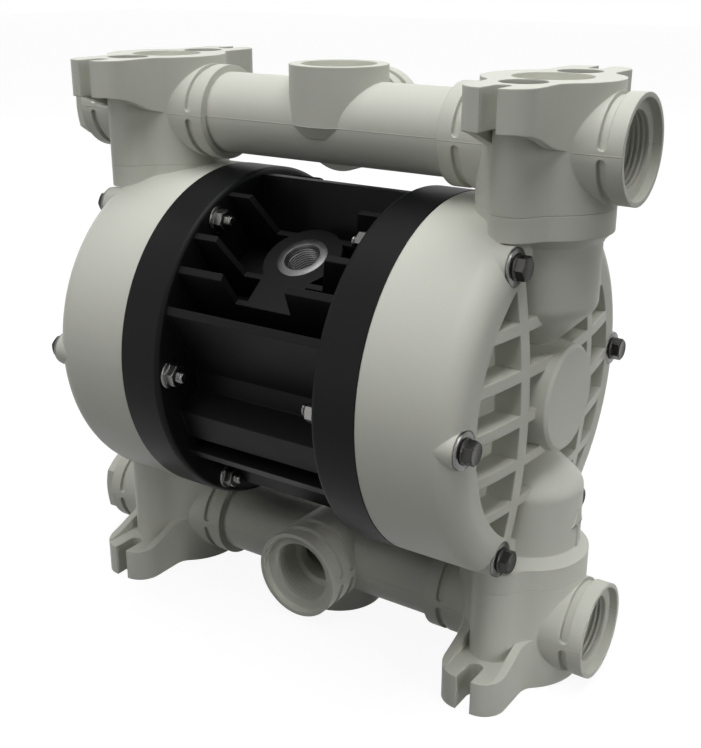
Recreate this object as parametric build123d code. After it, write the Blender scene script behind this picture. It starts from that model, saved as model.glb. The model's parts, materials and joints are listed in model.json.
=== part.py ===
from build123d import *
import os
from math import atan2, cos, hypot, radians, sin, sqrt, tan

# An air operated double diaphragm pump in plastic: two ribbed covers bolted to a finned centre
# block, and two manifolds that carry the suction, the delivery and the feet.
# X runs along the shaft, the front is -Y, Z is up, and the origin is on the floor under the
# middle of the pump. Sizes are in millimetres.

# Clearances
FIT = 0.05                 # of a part that is pushed home
RUNNING = 0.05             # radial, of a part that runs
SOFT_GAP = 0.2             # beside a soft part
OVER = 1.0                 # how far a cutter runs past a face

# Layout
MANIFOLD_H = 28.0          # manifold axis above the feet
COVER_GAP = 3.3            # between a cover and the ports of a manifold
CLAMP_X = 69.4             # face that clamps the diaphragm, from the middle
STROKE = 10.0              # of the shaft, each way
ELBOW_INSET = 7.0          # elbow axis behind the plane of the covers' rim
PORT_REACH = 43.0          # face of an end port from the elbow axis
COLLAR_REACH = 43.5        # shoulder of the collar between pipe and elbow, from the elbow axis
SIDE_PORT_Y = 41.2         # face of the middle port from the manifold axis

# Centre block
RING_STEP = 0.3            # the clamping rings stand proud of the covers
RING_W = 23.8
RING_ROUND = 2.5
CORE_R = 52.0
FIN_INSET = 3.0            # reach of the fins under the rings' outside
FIN_T = 3.3
TRAY_TILT = 60.0           # the air ports' axes above the horizontal
TRAY_INSET = 26.0          # port faces under the rings' outside
TRAY_FINS = ((14.3, 33.0, 23.5), (-17.2, 33.0, 23.5), (-35.4, 20.0, 16.5))
LONG_FIN = -53.3           # offset of the fin that has no notch
SPINE_T = 5.0
HUB_R = 20.5               # round boss of an air port
HUB_FOOT = 13.5            # half width where the boss meets the second fin
WEB_LEFT = -11.0           # ends of the web on the third fin
WEB_RIGHT = 16.0
# Panels and steps under the fins: y of the front and height from the shaft axis
HOUSING = ((-62.0, 0.6), (-60.5, -14.0), (-75.0, -21.3), (-68.6, -37.3), (-58.0, -41.0), (-69.4, -44.4),
           (-65.6, -49.3), (-44.0, -48.0), (-27.0, -79.0))
HOUSING_BASE = -82.0
AIR_TAPER = 4.0            # mouth of the air chamber inside the product chamber
AIR_FLOOR_EDGE = 10.0      # floor of the air chamber round the end cap

# Covers
COVER_R = 89.7
COVER_DEPTH = 49.6         # plane of the rim around the ribs, from the clamping face
SHOULDER_R = 12.0
RIM_W = 18.7
DOME_RISE = 7.0            # the ribs' crown above the rim
POCKET_DEPTH = 13.0
POCKET_DRAFT = 1.5
RIB_T = 5.3
RIB_PITCH = 21.2
STILE_Y = 35.4             # upright ribs from the middle
STILE_T = 7.2
DISC_R = 25.5
DISC_RISE = 11.5           # the disc's face above the rim
DISC_FLARE = 3.0
DISC_BEVEL = 1.5
NECK_WALL = 6.8
NECK_TOP = 44.0            # a neck's shoulder from the shaft axis
NECK_ROOF = 21.0
NECK_ROUND = 8.0
COLLAR_T = 11.0
COLLAR_EDGE = 0.5          # step between the collar and the flare above it
FLARE_H = 4.5
COVER_WALL = 5.0
BEAD_LAND = 2.5            # between the bolt holes and the diaphragm's groove
BEAD_W = 9.0
BEAD_DEPTH = 2.0
CHAMBER_TAPER = 5.0        # the chamber narrows by this much
CHAMBER_TAPER_L = 22.6     # over this depth
CHAMBER_DOME_R = 50.0

# Cover bolts
BOLT_COUNT = 6
BOLT_R = 3.0
BOLT_CLEARANCE = 0.3
BOLT_SEAT_INSET = 1.5
BOLT_BOSS_R = 8.8
BOLT_BOSS_EDGE = 0.1       # the bosses end inside the cover's outside
BOLT_PROUD = 1.1           # end of a bolt past its nut
BOLT_AF = 10.0
HEAD_H = 5.5
HEAD_FLANGE_R = 6.1
HEAD_FLANGE_T = 1.1
WASHER_R = 8.6
WASHER_T = 1.6
NUT_H = 6.0
NUT_FLANGE_R = 7.1

# Manifolds
PIPE_R = 20.5
PASSAGE_R = 14.0
SIDE_PASSAGE_R = 13.0
PORT_R = 24.0
PORT_RIM = 2.2
PORT_SINK = 4.0
PORT_THREAD_R = 16.6       # G 1 thread
PORT_THREAD_L = 18.0
GROOVE_W = 4.0
GROOVE_DEPTH = 1.8
GROOVE_INSET = 9.3         # groove's middle from the port face or the collar's shoulder
GROOVE_GAP = 9.0           # angle between a groove's end and the parting plane
SIDE_GROOVES = (8.2, 18.2) # the same for the two grooves of the middle port
JOINT_STEP = 2.6           # joint with the covers above the top of the ports
ELBOW_WALL = 11.5
MIDDLE_BOSS_R = 24.4
MIDDLE_BOSS_SKIRT = 6.0
LOBE_R = 12.0
LOBE_BLEND = 14.0
FOOT_HALF_W = 16.5
FOOT_REACH = 60.0
FOOT_CORNER = 12.0
FOOT_THROAT = 10.0
PAD_H = 17.8
PAD_HALF_W = 12.0
TOE_L = 8.0                # flat of a toe before its ramp
RAMP_HEAD_Y = 27.0
RAMP_ROUND = 50.0
SLOT_W = 7.7
SLOT_L = 15.4
DISH_R = 18.0              # shallow dishes in the face of the feet
DISH_DEPTH = 4.0
BLIND_PORT_R = 18.5

# Manifold screws
SCREW_SINK_R = 10.5
SCREW_SINK = 8.0
SCREW_R = 4.0
SCREW_CLEARANCE = 0.4
SCREW_AF = 13.0
SCREW_HEAD_H = 5.0
SCREW_SHORT = 0.5          # end of a screw before its insert's end
INSERT_R = 5.6
INSERT_L = 9.0
INSERT_LAND = 0.4          # between an insert and the joint's seal

# Valves
BALL_R = 15.0
BALL_LIFT = 8.0
SEAT_CONTACT_R = 12.0
SEAT_FACE_RISE = 2.0       # seat's top face above the circle where the ball touches
BALL_SEAT_GAP = 0.05
GUIDE_GAP = 0.4
CAGE_WALL = 4.6
CAGE_LEG_W = 5.0
CAGE_TOP_T = 4.0
CAGE_EYE_R = 9.0
CAGE_BASE_GAP = 1.5        # foot ring's bore round the guide
VALVE_SINK_STEP = 1.0
VALVE_SINK = 7.0
NECK_BORE_TOP = 47.0       # end of a neck's bore from the shaft axis
JOINT_SEAL_T = 2.0

# Shaft and diaphragms
SHAFT_R = 10.0
SHAFT_GROOVE = (4.0, 9.0)
SHAFT_GROOVE_DEPTH = 1.5
DIAPHRAGM_T = 3.0
WEB_T = 2.4
WEB_RISE = 6.0
WEB_EDGE = 2.0             # flat beside the rolled web
PLATE_R = 36.0
PLATE_CHAMFER = 1.0
PLATE_EDGE = 2.0
INNER_PLATE_T = 5.7
OUTER_PLATE_T = 8.0
OUTER_PLATE_RIM = 3.0
PLATE_GAP = 1.0            # inner plate from the end cap at the end of the stroke
PLATE_SCREW_R = 5.0
PLATE_SCREW_AF = 17.0
PLATE_SCREW_HEAD = 6.4
PLATE_SCREW_BITE = 20.0
DRILL_RELIEF = 2.0

# Air distributor around the shaft
SHAFT_WAY = 0.6            # between the shaft and the spool
SPOOL_R = 18.0
SPOOL_TRAVEL = 5.0
SPOOL_WAIST = (7.0, 15.0)
SPOOL_WAIST_DEPTH = 3.0
SLEEVE_T = 8.0
SLEEVE_SEAL_T = 2.4
SLEEVE_SEAL_X = (6.0, 18.0)
SLEEVE_PORT_X = (-12.0, 0.0, 12.0)
SLEEVE_PORT_R = 3.0
CAP_SPIGOT_L = 18.0
CAP_EDGE = 4.0             # the cap's screws from its spigot, and its rim from the screws
CAP_FLANGE_T = 3.0
CAP_SCREW_R = 2.5
CAP_SCREW_BITE = 11.0
BUSH_T = 4.0
BUSH_L = 14.0
SEAL_L = 4.0
SEAL_SHELF = 2.0
AIR_WAY_R = 5.0

# Air ports of the block
INLET_INSERT_R = 13.2
INLET_THREAD_R = 8.33      # G 3/8 thread
EXHAUST_INSERT_R = 15.2
EXHAUST_THREAD_R = 10.48   # G 1/2 thread
INSERT_DEPTH = 18.0
INSERT_PROUD = 0.4

# End plugs
PLUG_AF = 41.0
PLUG_HEAD = 8.0
PLUG_CHAMFER = 1.5

# Worked out from the sizes above: heights
MANIFOLD_RISE = COVER_R + COVER_GAP + PORT_R
SHAFT_H = MANIFOLD_H + MANIFOLD_RISE
JOINT_H = MANIFOLD_H + PORT_R + JOINT_STEP
JOINT_DROP = SHAFT_H - JOINT_H
ELBOW_BORE_FLOOR = MANIFOLD_H - PASSAGE_R

# Along the shaft
RING_INNER_X = CLAMP_X - RING_W
RIM_X = CLAMP_X + COVER_DEPTH
DISC_X = RIM_X + DISC_RISE
ELBOW_X = RIM_X - ELBOW_INSET
END_PORT_X = ELBOW_X + PORT_REACH
PIPE_COLLAR_X = ELBOW_X - COLLAR_REACH
BOLT_SEAT_X = RIM_X - BOLT_SEAT_INSET
BOLT_END_X = RING_INNER_X - NUT_H - BOLT_PROUD
CHAMBER_TAPER_X = CLAMP_X + CHAMBER_TAPER_L
PLATE_IN_X = CLAMP_X - DIAPHRAGM_T / 2 - SOFT_GAP
PLATE_OUT_X = CLAMP_X + DIAPHRAGM_T / 2 + SOFT_GAP
SHAFT_HALF = PLATE_IN_X - INNER_PLATE_T
AIR_RECESS_X = SHAFT_HALF - STROKE - PLATE_GAP - CAP_FLANGE_T
SLEEVE_HALF = AIR_RECESS_X - CAP_SPIGOT_L

# Radii about the shaft
RING_R = COVER_R + RING_STEP
FIN_R = RING_R - FIN_INSET
TRAY_FACE = RING_R - TRAY_INSET
FIELD_R = COVER_R - RIM_W
DISC_FOOT_R = DISC_R + DISC_FLARE
BOLT_PCR = COVER_R - BOLT_BOSS_R - BOLT_BOSS_EDGE
BOLT_HOLE_R = BOLT_R + BOLT_CLEARANCE
BEAD_R = BOLT_PCR - BOLT_HOLE_R - BEAD_LAND
CHAMBER_R = BEAD_R - BEAD_W
CHAMBER_TAPER_R = CHAMBER_R - CHAMBER_TAPER
AIR_RECESS_R = CHAMBER_R - AIR_TAPER
SPOOL_BORE_R = SHAFT_R + SHAFT_WAY
BUSH_R = SHAFT_R + BUSH_T
SLEEVE_R = SPOOL_R + SLEEVE_T
CAP_SCREW_PCR = SLEEVE_R + CAP_EDGE
CAP_FLANGE_R = CAP_SCREW_PCR + CAP_EDGE
AIR_FLOOR_R = CAP_FLANGE_R + AIR_FLOOR_EDGE

# Elbows, feet and valves
PORT_SINK_R = PORT_R - PORT_RIM
VALVE_BORE_R = BALL_R + GUIDE_GAP + CAGE_WALL
VALVE_SINK_R = VALVE_BORE_R + VALVE_SINK_STEP
JOINT_SEAL_R = VALVE_SINK_R + JOINT_SEAL_T
NECK_R = VALVE_BORE_R + NECK_WALL
ELBOW_R = VALVE_BORE_R + ELBOW_WALL
FLARE_R = ELBOW_R - COLLAR_EDGE
SCREW_Y = JOINT_SEAL_R + INSERT_LAND + INSERT_R
SCREW_HOLE_R = SCREW_R + SCREW_CLEARANCE
SLOT_END_Y = FOOT_REACH - SLOT_L
RAMP_FOOT_Y = FOOT_REACH - TOE_L
BALL_RISE = BALL_R * sqrt(1 - (SEAT_CONTACT_R / BALL_R) ** 2)
BALL_UP = BALL_RISE - SEAT_FACE_RISE + BALL_SEAT_GAP


def rod_x(radius, x0, x1, y=0.0, z=0.0):
    return Pos((x0 + x1) / 2, y, z) * Rot(0, 90, 0) * Cylinder(radius, abs(x1 - x0))


def rod_y(radius, y0, y1, x=0.0, z=0.0):
    return Pos(x, (y0 + y1) / 2, z) * Rot(90, 0, 0) * Cylinder(radius, abs(y1 - y0))


def rod_z(radius, z0, z1, x=0.0, y=0.0):
    return Pos(x, y, (z0 + z1) / 2) * Cylinder(radius, abs(z1 - z0))


def block(x0, x1, y0, y1, z0, z1):
    return Pos((x0 + x1) / 2, (y0 + y1) / 2, (z0 + z1) / 2) * Box(x1 - x0, y1 - y0, z1 - z0)


def hexagon_x(across_flats, x0, x1, y=0.0, z=0.0):
    outline = RegularPolygon(across_flats / 2, 6, major_radius=False)
    return Pos(x0, y, z) * Rot(0, 90, 0) * extrude(outline, x1 - x0)


def hexagon_z(across_flats, z0, z1, x=0.0, y=0.0):
    outline = RegularPolygon(across_flats / 2, 6, major_radius=False)
    return Pos(x, y, z0) * extrude(outline, z1 - z0)


def turned_x(points):
    """A solid of revolution about X from (x, radius) corners."""
    return revolve(make_face(Polyline(*points, close=True)), Axis.X)


def turned_z(points):
    """A solid of revolution about Z from (radius, z) corners."""
    outline = make_face(Polyline(*points, close=True))
    return revolve(Rot(90, 0, 0) * outline, Axis.Z)


def tube_x(outer, inner, x0, x1, y=0.0, z=0.0):
    return rod_x(outer, x0, x1, y, z) - rod_x(inner, x0, x1, y, z)


def at_shaft(shape):
    return Pos(0, 0, SHAFT_H) * shape


def left_of(shape):
    """The same piece on the left: a half turn about the vertical axis."""
    return Rot(0, 0, 180) * shape


def upper_of(shape):
    """The same piece at the top: a half turn about the shaft axis."""
    return Pos(0, 0, SHAFT_H) * Rot(180, 0, 0) * Pos(0, 0, -SHAFT_H) * shape


def bolt_places():
    """(y, z) of the cover bolts about the shaft axis."""
    step = 360.0 / BOLT_COUNT
    angles = [radians(step * (i + 0.5)) for i in range(BOLT_COUNT)]
    return [(BOLT_PCR * sin(a), BOLT_PCR * cos(a)) for a in angles]


def crown(radius, x_edge, r_edge, rise):
    """x of a shallow dome at a radius, from its edge and its rise."""
    ball = (r_edge ** 2 + rise ** 2) / (2 * rise)
    return x_edge + rise - ball + sqrt(ball ** 2 - radius ** 2)


def lobed_outline():
    """Outline of the joint between manifold and cover: a disc with a lobe for a screw at each end."""
    outline = Circle(ELBOW_R) + Pos(0, SCREW_Y) * Circle(LOBE_R) + Pos(0, -SCREW_Y) * Circle(LOBE_R)
    return fillet(outline.vertices(), LOBE_BLEND)


# Centre block

def tray_frame(front):
    """Placement whose Z is the port's axis and whose Y points up the sloping face."""
    turn = 90.0 - TRAY_TILT
    placed = Rot(turn, 0, 0)
    return placed if front else Rot(0, 0, 180) * placed


def fin(offset):
    """A plate of the tray across the block, at an offset up the sloping face."""
    return block(-RING_INNER_X, RING_INNER_X, offset - FIN_T / 2, offset + FIN_T / 2, 0, RING_R)


def tray():
    """Fins, port boss and web on one sloping face, with the port's axis as Z."""
    made = fin(LONG_FIN)
    for offset, top_half, foot_half in TRAY_FINS:
        slope = (RING_R - TRAY_FACE) * (top_half - foot_half) / (FIN_R - TRAY_FACE)
        wide = foot_half + slope
        notch = make_face(Polyline((-foot_half, TRAY_FACE), (-wide, RING_R), (wide, RING_R),
                                   (foot_half, TRAY_FACE), close=True))
        notch = Pos(0, offset + FIN_T, 0) * Rot(90, 0, 0) * extrude(notch, 2 * FIN_T)
        made += fin(offset) - notch
    hub_foot = TRAY_FINS[1][0]
    web_foot = TRAY_FINS[2][0]
    web = make_face(Polyline((-HUB_R, 0), (HUB_R, 0), (HUB_FOOT, hub_foot), (WEB_RIGHT, web_foot),
                             (WEB_LEFT, web_foot), (-HUB_FOOT, hub_foot), close=True))
    made += extrude(Circle(HUB_R) + web, TRAY_FACE)
    return made & rod_x(FIN_R, -RING_INNER_X, RING_INNER_X)


def lower_housing():
    """The panels and steps under the trays, the same at front and back."""
    front = [(0, 0), *HOUSING, (0, HOUSING_BASE)]
    side = extrude(Plane.YZ * make_face(Polyline(*front, close=True)), RING_INNER_X, both=True)
    side = side & rod_x(FIN_R, -RING_INNER_X, RING_INNER_X)
    return side + mirror(side, Plane.XZ)


def ring(side):
    """A clamping ring of the block with its outer edges rounded."""
    made = rod_x(RING_R, side * RING_INNER_X, side * CLAMP_X)
    edge = made.edges().filter_by(GeomType.CIRCLE).sort_by(Axis.X)
    inner = edge[0] if side > 0 else edge[-1]
    return fillet(inner, RING_ROUND)


def air_chamber():
    """The space on the air side of the right-hand diaphragm."""
    return turned_x([(AIR_RECESS_X, 0), (AIR_RECESS_X, AIR_FLOOR_R), (CLAMP_X - BEAD_DEPTH, AIR_RECESS_R),
                     (CLAMP_X - BEAD_DEPTH, BEAD_R), (CLAMP_X + OVER, BEAD_R), (CLAMP_X + OVER, 0)])


def centre_block():
    made = ring(1) + ring(-1) + rod_x(CORE_R, -RING_INNER_X, RING_INNER_X) + lower_housing()
    made += block(-RING_INNER_X, RING_INNER_X, -SPINE_T / 2, SPINE_T / 2, 0, FIN_R)
    for front in (True, False):
        made += tray_frame(front) * tray()
    made -= rod_x(SLEEVE_R, -CLAMP_X, CLAMP_X)
    chamber = air_chamber()
    made -= chamber
    made -= mirror(chamber, Plane.YZ)
    for y, z in bolt_places():
        for side in (-1, 1):
            made -= rod_x(BOLT_HOLE_R, side * (RING_INNER_X - OVER), side * (CLAMP_X + OVER), y, z)
    for front, insert_r in ((True, INLET_INSERT_R), (False, EXHAUST_INSERT_R)):
        sink = rod_z(insert_r, TRAY_FACE - INSERT_DEPTH, TRAY_FACE + OVER)
        way = rod_z(AIR_WAY_R, SLEEVE_R - OVER, TRAY_FACE)
        made -= tray_frame(front) * (sink + way)
    for turn in range(4):
        for side in (-1, 1):
            hole = rod_x(CAP_SCREW_R, side * (AIR_RECESS_X - CAP_SCREW_BITE - OVER), side * AIR_RECESS_X,
                         0, CAP_SCREW_PCR)
            made -= Rot(45 + 90 * turn, 0, 0) * hole
    return at_shaft(made)


def port_insert(front, outer, thread):
    made = rod_z(outer - FIT, TRAY_FACE - INSERT_DEPTH, TRAY_FACE + INSERT_PROUD)
    made -= rod_z(thread, TRAY_FACE - INSERT_DEPTH - OVER, TRAY_FACE + OVER)
    return at_shaft(tray_frame(front) * made)


# Covers

def cover_shell():
    """The bowl of a cover, turned about the shaft axis, before anything is cut."""
    start = COVER_R - SHOULDER_R
    bend = radians(45)
    mid = (RIM_X - SHOULDER_R + SHOULDER_R * cos(bend), start + SHOULDER_R * sin(bend))
    half = FIELD_R / 2
    outline = make_face([
        Line((CLAMP_X, 0), (CLAMP_X, COVER_R)),
        Line((CLAMP_X, COVER_R), (RIM_X - SHOULDER_R, COVER_R)),
        ThreePointArc((RIM_X - SHOULDER_R, COVER_R), mid, (RIM_X, start)),
        Line((RIM_X, start), (RIM_X, FIELD_R)),
        ThreePointArc((RIM_X, FIELD_R), (crown(half, RIM_X, FIELD_R, DOME_RISE), half),
                      (RIM_X + DOME_RISE, 0)),
        Line((RIM_X + DOME_RISE, 0), (CLAMP_X, 0))])
    return revolve(outline, Axis.X)


def neck_shape():
    """The outside of the lower neck: a flared post with a sloping roof, about the elbow axis."""
    crest = -NECK_TOP + NECK_ROOF
    collar_top = -JOINT_DROP + COLLAR_T
    outline = make_face(Polyline((0, -JOINT_DROP), (FLARE_R, -JOINT_DROP), (FLARE_R, collar_top),
                                 (NECK_R, collar_top + FLARE_H), (NECK_R, -NECK_TOP),
                                 (NECK_R - NECK_ROOF, crest), (0, crest), close=True))
    shoulder = [v for v in outline.vertices() if abs(v.X - NECK_R) < FIT and abs(v.Y + NECK_TOP) < FIT]
    outline = fillet(shoulder, NECK_ROUND)
    return Pos(ELBOW_X, 0, 0) * revolve(Rot(90, 0, 0) * outline, Axis.Z)


def pockets(necks, disc):
    """The cells between the ribs, as a cutter."""
    floor_x = RIM_X - POCKET_DEPTH
    half = FIELD_R / 2
    far = DISC_X + NECK_R
    crest = (floor_x + DOME_RISE, 0)
    foot_r = FIELD_R - POCKET_DRAFT
    edge = (crown(foot_r, floor_x, FIELD_R, DOME_RISE), foot_r)
    outline = make_face([
        Line((far, 0), crest),
        ThreePointArc(crest, (crown(half, floor_x, FIELD_R, DOME_RISE), half), edge),
        Line(edge, (RIM_X, FIELD_R)),
        Line((RIM_X, FIELD_R), (far, FIELD_R)),
        Line((far, FIELD_R), (far, 0))])
    made = revolve(outline, Axis.X)
    for step in range(-2, 3):
        z = step * RIB_PITCH
        made -= block(floor_x - OVER, far + OVER, -RING_R, RING_R, z - RIB_T / 2, z + RIB_T / 2)
    for side in (-1, 1):
        y = side * STILE_Y
        made -= block(floor_x - OVER, far + OVER, y - STILE_T / 2, y + STILE_T / 2, -RING_R, RING_R)
    return made - necks - disc


def valve_well(depth):
    """Bore of a valve as a cutter from the joint at z = 0 upwards, with the step for seat or cage."""
    return turned_z([(0, -OVER), (VALVE_SINK_R, -OVER), (VALVE_SINK_R, VALVE_SINK),
                     (VALVE_BORE_R, VALVE_SINK), (VALVE_BORE_R, depth), (0, depth)])


def chamber_bowl():
    """The space on the product side of the right-hand diaphragm."""
    wall_x = RIM_X - POCKET_DEPTH - COVER_WALL
    half = CHAMBER_DOME_R / 2
    edge = (crown(CHAMBER_DOME_R, wall_x, FIELD_R, DOME_RISE), CHAMBER_DOME_R)
    bead_x = CLAMP_X + BEAD_DEPTH
    outline = make_face([
        Line((CLAMP_X - OVER, 0), (CLAMP_X - OVER, BEAD_R)),
        Line((CLAMP_X - OVER, BEAD_R), (bead_x, BEAD_R)),
        Line((bead_x, BEAD_R), (bead_x, CHAMBER_R)),
        Line((bead_x, CHAMBER_R), (CHAMBER_TAPER_X, CHAMBER_TAPER_R)),
        Line((CHAMBER_TAPER_X, CHAMBER_TAPER_R), edge),
        ThreePointArc(edge, (crown(half, wall_x, FIELD_R, DOME_RISE), half), (wall_x + DOME_RISE, 0)),
        Line((wall_x + DOME_RISE, 0), (CLAMP_X - OVER, 0))])
    return revolve(outline, Axis.X)


def cover():
    """The right-hand cover."""
    lower_neck = neck_shape()
    necks = lower_neck + mirror(lower_neck, Plane.XY)
    floor_x = RIM_X - POCKET_DEPTH
    disc = turned_x([(floor_x, 0), (floor_x, DISC_FOOT_R), (DISC_X - DISC_BEVEL, DISC_R),
                     (DISC_X, DISC_R - DISC_BEVEL), (DISC_X, 0)])
    made = cover_shell() - pockets(necks, disc) + necks + disc
    collar = Pos(ELBOW_X, 0, -JOINT_DROP) * extrude(lobed_outline(), COLLAR_T)
    made += collar + mirror(collar, Plane.XY)
    for y, z in bolt_places():
        made += rod_x(BOLT_BOSS_R, RIM_X - 2 * SHOULDER_R, BOLT_SEAT_X, y, z)
        made -= rod_x(BOLT_BOSS_R, BOLT_SEAT_X, DISC_X, y, z)
        made -= rod_x(BOLT_HOLE_R, CLAMP_X - OVER, BOLT_SEAT_X + OVER, y, z)
    made -= chamber_bowl()
    well = valve_well(JOINT_DROP - NECK_BORE_TOP) + rod_z(JOINT_SEAL_R, -OVER, JOINT_SEAL_T)
    well = Pos(ELBOW_X, 0, -JOINT_DROP) * well
    for side in (-1, 1):
        well += rod_z(INSERT_R, -JOINT_DROP - OVER, -JOINT_DROP + INSERT_L, ELBOW_X, side * SCREW_Y)
    made -= well
    made -= mirror(well, Plane.XY)
    return at_shaft(made)


def cover_bolts():
    made = []
    head = BOLT_SEAT_X + WASHER_T
    for y, z in bolt_places():
        bolt = rod_x(BOLT_R, BOLT_END_X, head, y, z)
        bolt += rod_x(HEAD_FLANGE_R, head, head + HEAD_FLANGE_T, y, z)
        bolt += hexagon_x(BOLT_AF, head + HEAD_FLANGE_T, head + HEAD_H, y, z)
        made.append(at_shaft(bolt))
    return Compound(made)


def cover_washers():
    return Compound([at_shaft(tube_x(WASHER_R, BOLT_HOLE_R, BOLT_SEAT_X, BOLT_SEAT_X + WASHER_T, y, z))
                     for y, z in bolt_places()])


def cover_nuts():
    made = []
    for y, z in bolt_places():
        nut = rod_x(NUT_FLANGE_R, RING_INNER_X - HEAD_FLANGE_T, RING_INNER_X, y, z)
        nut += hexagon_x(BOLT_AF, RING_INNER_X - NUT_H, RING_INNER_X - HEAD_FLANGE_T, y, z)
        made.append(at_shaft(nut - rod_x(BOLT_R + FIT, 0, CLAMP_X, y, z)))
    return Compound(made)


# Manifolds

def foot(x):
    """A foot with its raised pad walls, from the floor up to the manifold's parting plane."""
    toes = RectangleRounded(2 * FOOT_HALF_W, 2 * FOOT_REACH, FOOT_CORNER)
    plan = Circle(ELBOW_R) + toes
    notches = [v for v in plan.vertices() if abs(v.Y) < ELBOW_R]
    plan = fillet(notches, FOOT_THROAT)
    made = extrude(plan, MANIFOLD_H)
    ramp = make_face(Polyline((0, MANIFOLD_H + OVER), (0, MANIFOLD_H), (RAMP_HEAD_Y, MANIFOLD_H),
                              (RAMP_FOOT_Y, PAD_H), (2 * FOOT_REACH, PAD_H),
                              (2 * FOOT_REACH, MANIFOLD_H + OVER), close=True))
    bends = [v for v in ramp.vertices() if RAMP_HEAD_Y - FIT < v.X < RAMP_FOOT_Y + FIT]
    run, drop = RAMP_FOOT_Y - RAMP_HEAD_Y, MANIFOLD_H - PAD_H
    fullest = 0.45 * hypot(run, drop) / tan(atan2(drop, run) / 2)
    ramp = extrude(Plane.YZ * fillet(bends, min(RAMP_ROUND, fullest)), ELBOW_R, both=True)
    pad = block(-PAD_HALF_W, PAD_HALF_W, SCREW_Y, FOOT_REACH + OVER, PAD_H, MANIFOLD_H + OVER)
    slot = block(-SLOT_W / 2, SLOT_W / 2, SLOT_END_Y + SLOT_W / 2, FOOT_REACH + OVER, -OVER, PAD_H + OVER)
    slot += rod_z(SLOT_W / 2, -OVER, PAD_H + OVER, 0, SLOT_END_Y + SLOT_W / 2)
    cut = ramp + pad + slot
    return Pos(x, 0, 0) * (made - cut - mirror(cut, Plane.XZ))


def groove_ring(radius):
    """Two shallow grooves round a port, about X, that end round beside the parting plane."""
    band = tube_x(radius + OVER, radius - GROOVE_DEPTH, -GROOVE_W / 2, GROOVE_W / 2)
    half = radius * sin(radians(GROOVE_GAP))
    made = band - block(-GROOVE_W, GROOVE_W, -2 * radius, 2 * radius, -half, half)
    for z in (-half, half):
        made += band & rod_y(GROOVE_W / 2, -2 * radius, 2 * radius, 0, z)
    return made


def port_mouth():
    """Bore of a port as a cutter: the face is at x = 0 and the port runs towards -x."""
    made = rod_x(PORT_SINK_R, -PORT_SINK, OVER)
    return made + rod_x(PORT_THREAD_R, -PORT_SINK - PORT_THREAD_L, OVER)


def manifold():
    """The lower manifold."""
    made = rod_x(PIPE_R, -ELBOW_X, ELBOW_X, 0, MANIFOLD_H)
    for side in (-1, 1):
        x = side * ELBOW_X
        made += foot(x)
        made += rod_x(PORT_R, side * PIPE_COLLAR_X, side * END_PORT_X, 0, MANIFOLD_H)
        made += Pos(x, 0, 0) * extrude(lobed_outline(), JOINT_H)
    made += rod_z(MIDDLE_BOSS_R, 0, MANIFOLD_H)
    skirt = MANIFOLD_H + MIDDLE_BOSS_SKIRT
    made += turned_z([(0, MANIFOLD_H), (MIDDLE_BOSS_R, MANIFOLD_H), (PIPE_R, skirt), (0, skirt)])
    made += rod_y(PORT_R, -SIDE_PORT_Y, 0, 0, MANIFOLD_H)
    cuts = [rod_x(PASSAGE_R, -END_PORT_X, END_PORT_X, 0, MANIFOLD_H),
            rod_y(SIDE_PASSAGE_R, -SIDE_PORT_Y, 0, 0, MANIFOLD_H),
            rod_z(BLIND_PORT_R, -OVER, DISH_DEPTH)]
    mouth = Pos(END_PORT_X, 0, MANIFOLD_H) * port_mouth()
    cuts.append(mouth)
    cuts.append(mirror(mouth, Plane.YZ))
    cuts.append(Pos(0, -SIDE_PORT_Y, MANIFOLD_H) * Rot(0, 0, -90) * port_mouth())
    for side in (-1, 1):
        x = side * ELBOW_X
        well = Rot(180, 0, 0) * valve_well(JOINT_H - ELBOW_BORE_FLOOR)
        cuts.append(Pos(x, 0, JOINT_H) * well)
        cuts.append(rod_z(DISH_R, -OVER, DISH_DEPTH, x))
        for front in (-1, 1):
            y = front * SCREW_Y
            cuts.append(rod_z(SCREW_SINK_R, -OVER, SCREW_SINK, x, y))
            cuts.append(rod_z(SCREW_HOLE_R, 0, JOINT_H + OVER, x, y))
        for where in (END_PORT_X - GROOVE_INSET, PIPE_COLLAR_X + GROOVE_INSET):
            cuts.append(Pos(side * where, 0, MANIFOLD_H) * groove_ring(PORT_R))
    for inset in SIDE_GROOVES:
        cuts.append(Pos(0, -SIDE_PORT_Y + inset, MANIFOLD_H) * Rot(0, 0, 90) * groove_ring(PORT_R))
    for cut in cuts:
        made -= cut
    return made


def manifold_screws():
    made = []
    top = SCREW_SINK - WASHER_T
    end = JOINT_H + INSERT_L - SCREW_SHORT
    for side in (-1, 1):
        for front in (-1, 1):
            x, y = side * ELBOW_X, front * SCREW_Y
            screw = rod_z(SCREW_R, top, end, x, y)
            made.append(screw + hexagon_z(SCREW_AF, top - SCREW_HEAD_H, top, x, y))
    return Compound(made)


def manifold_washers():
    made = []
    for side in (-1, 1):
        for front in (-1, 1):
            x, y = side * ELBOW_X, front * SCREW_Y
            disc = rod_z(WASHER_R, SCREW_SINK - WASHER_T, SCREW_SINK, x, y)
            made.append(disc - rod_z(SCREW_HOLE_R, 0, SCREW_SINK, x, y))
    return Compound(made)


def collar_inserts():
    """Threaded bushes in the lower collars of the covers, for the manifold screws."""
    made = []
    for side in (-1, 1):
        for front in (-1, 1):
            x, y = side * ELBOW_X, front * SCREW_Y
            bush = rod_z(INSERT_R - FIT, JOINT_H, JOINT_H + INSERT_L, x, y)
            made.append(bush - rod_z(SCREW_R + FIT, JOINT_H - OVER, JOINT_H + INSERT_L + OVER, x, y))
    return Compound(made)


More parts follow.
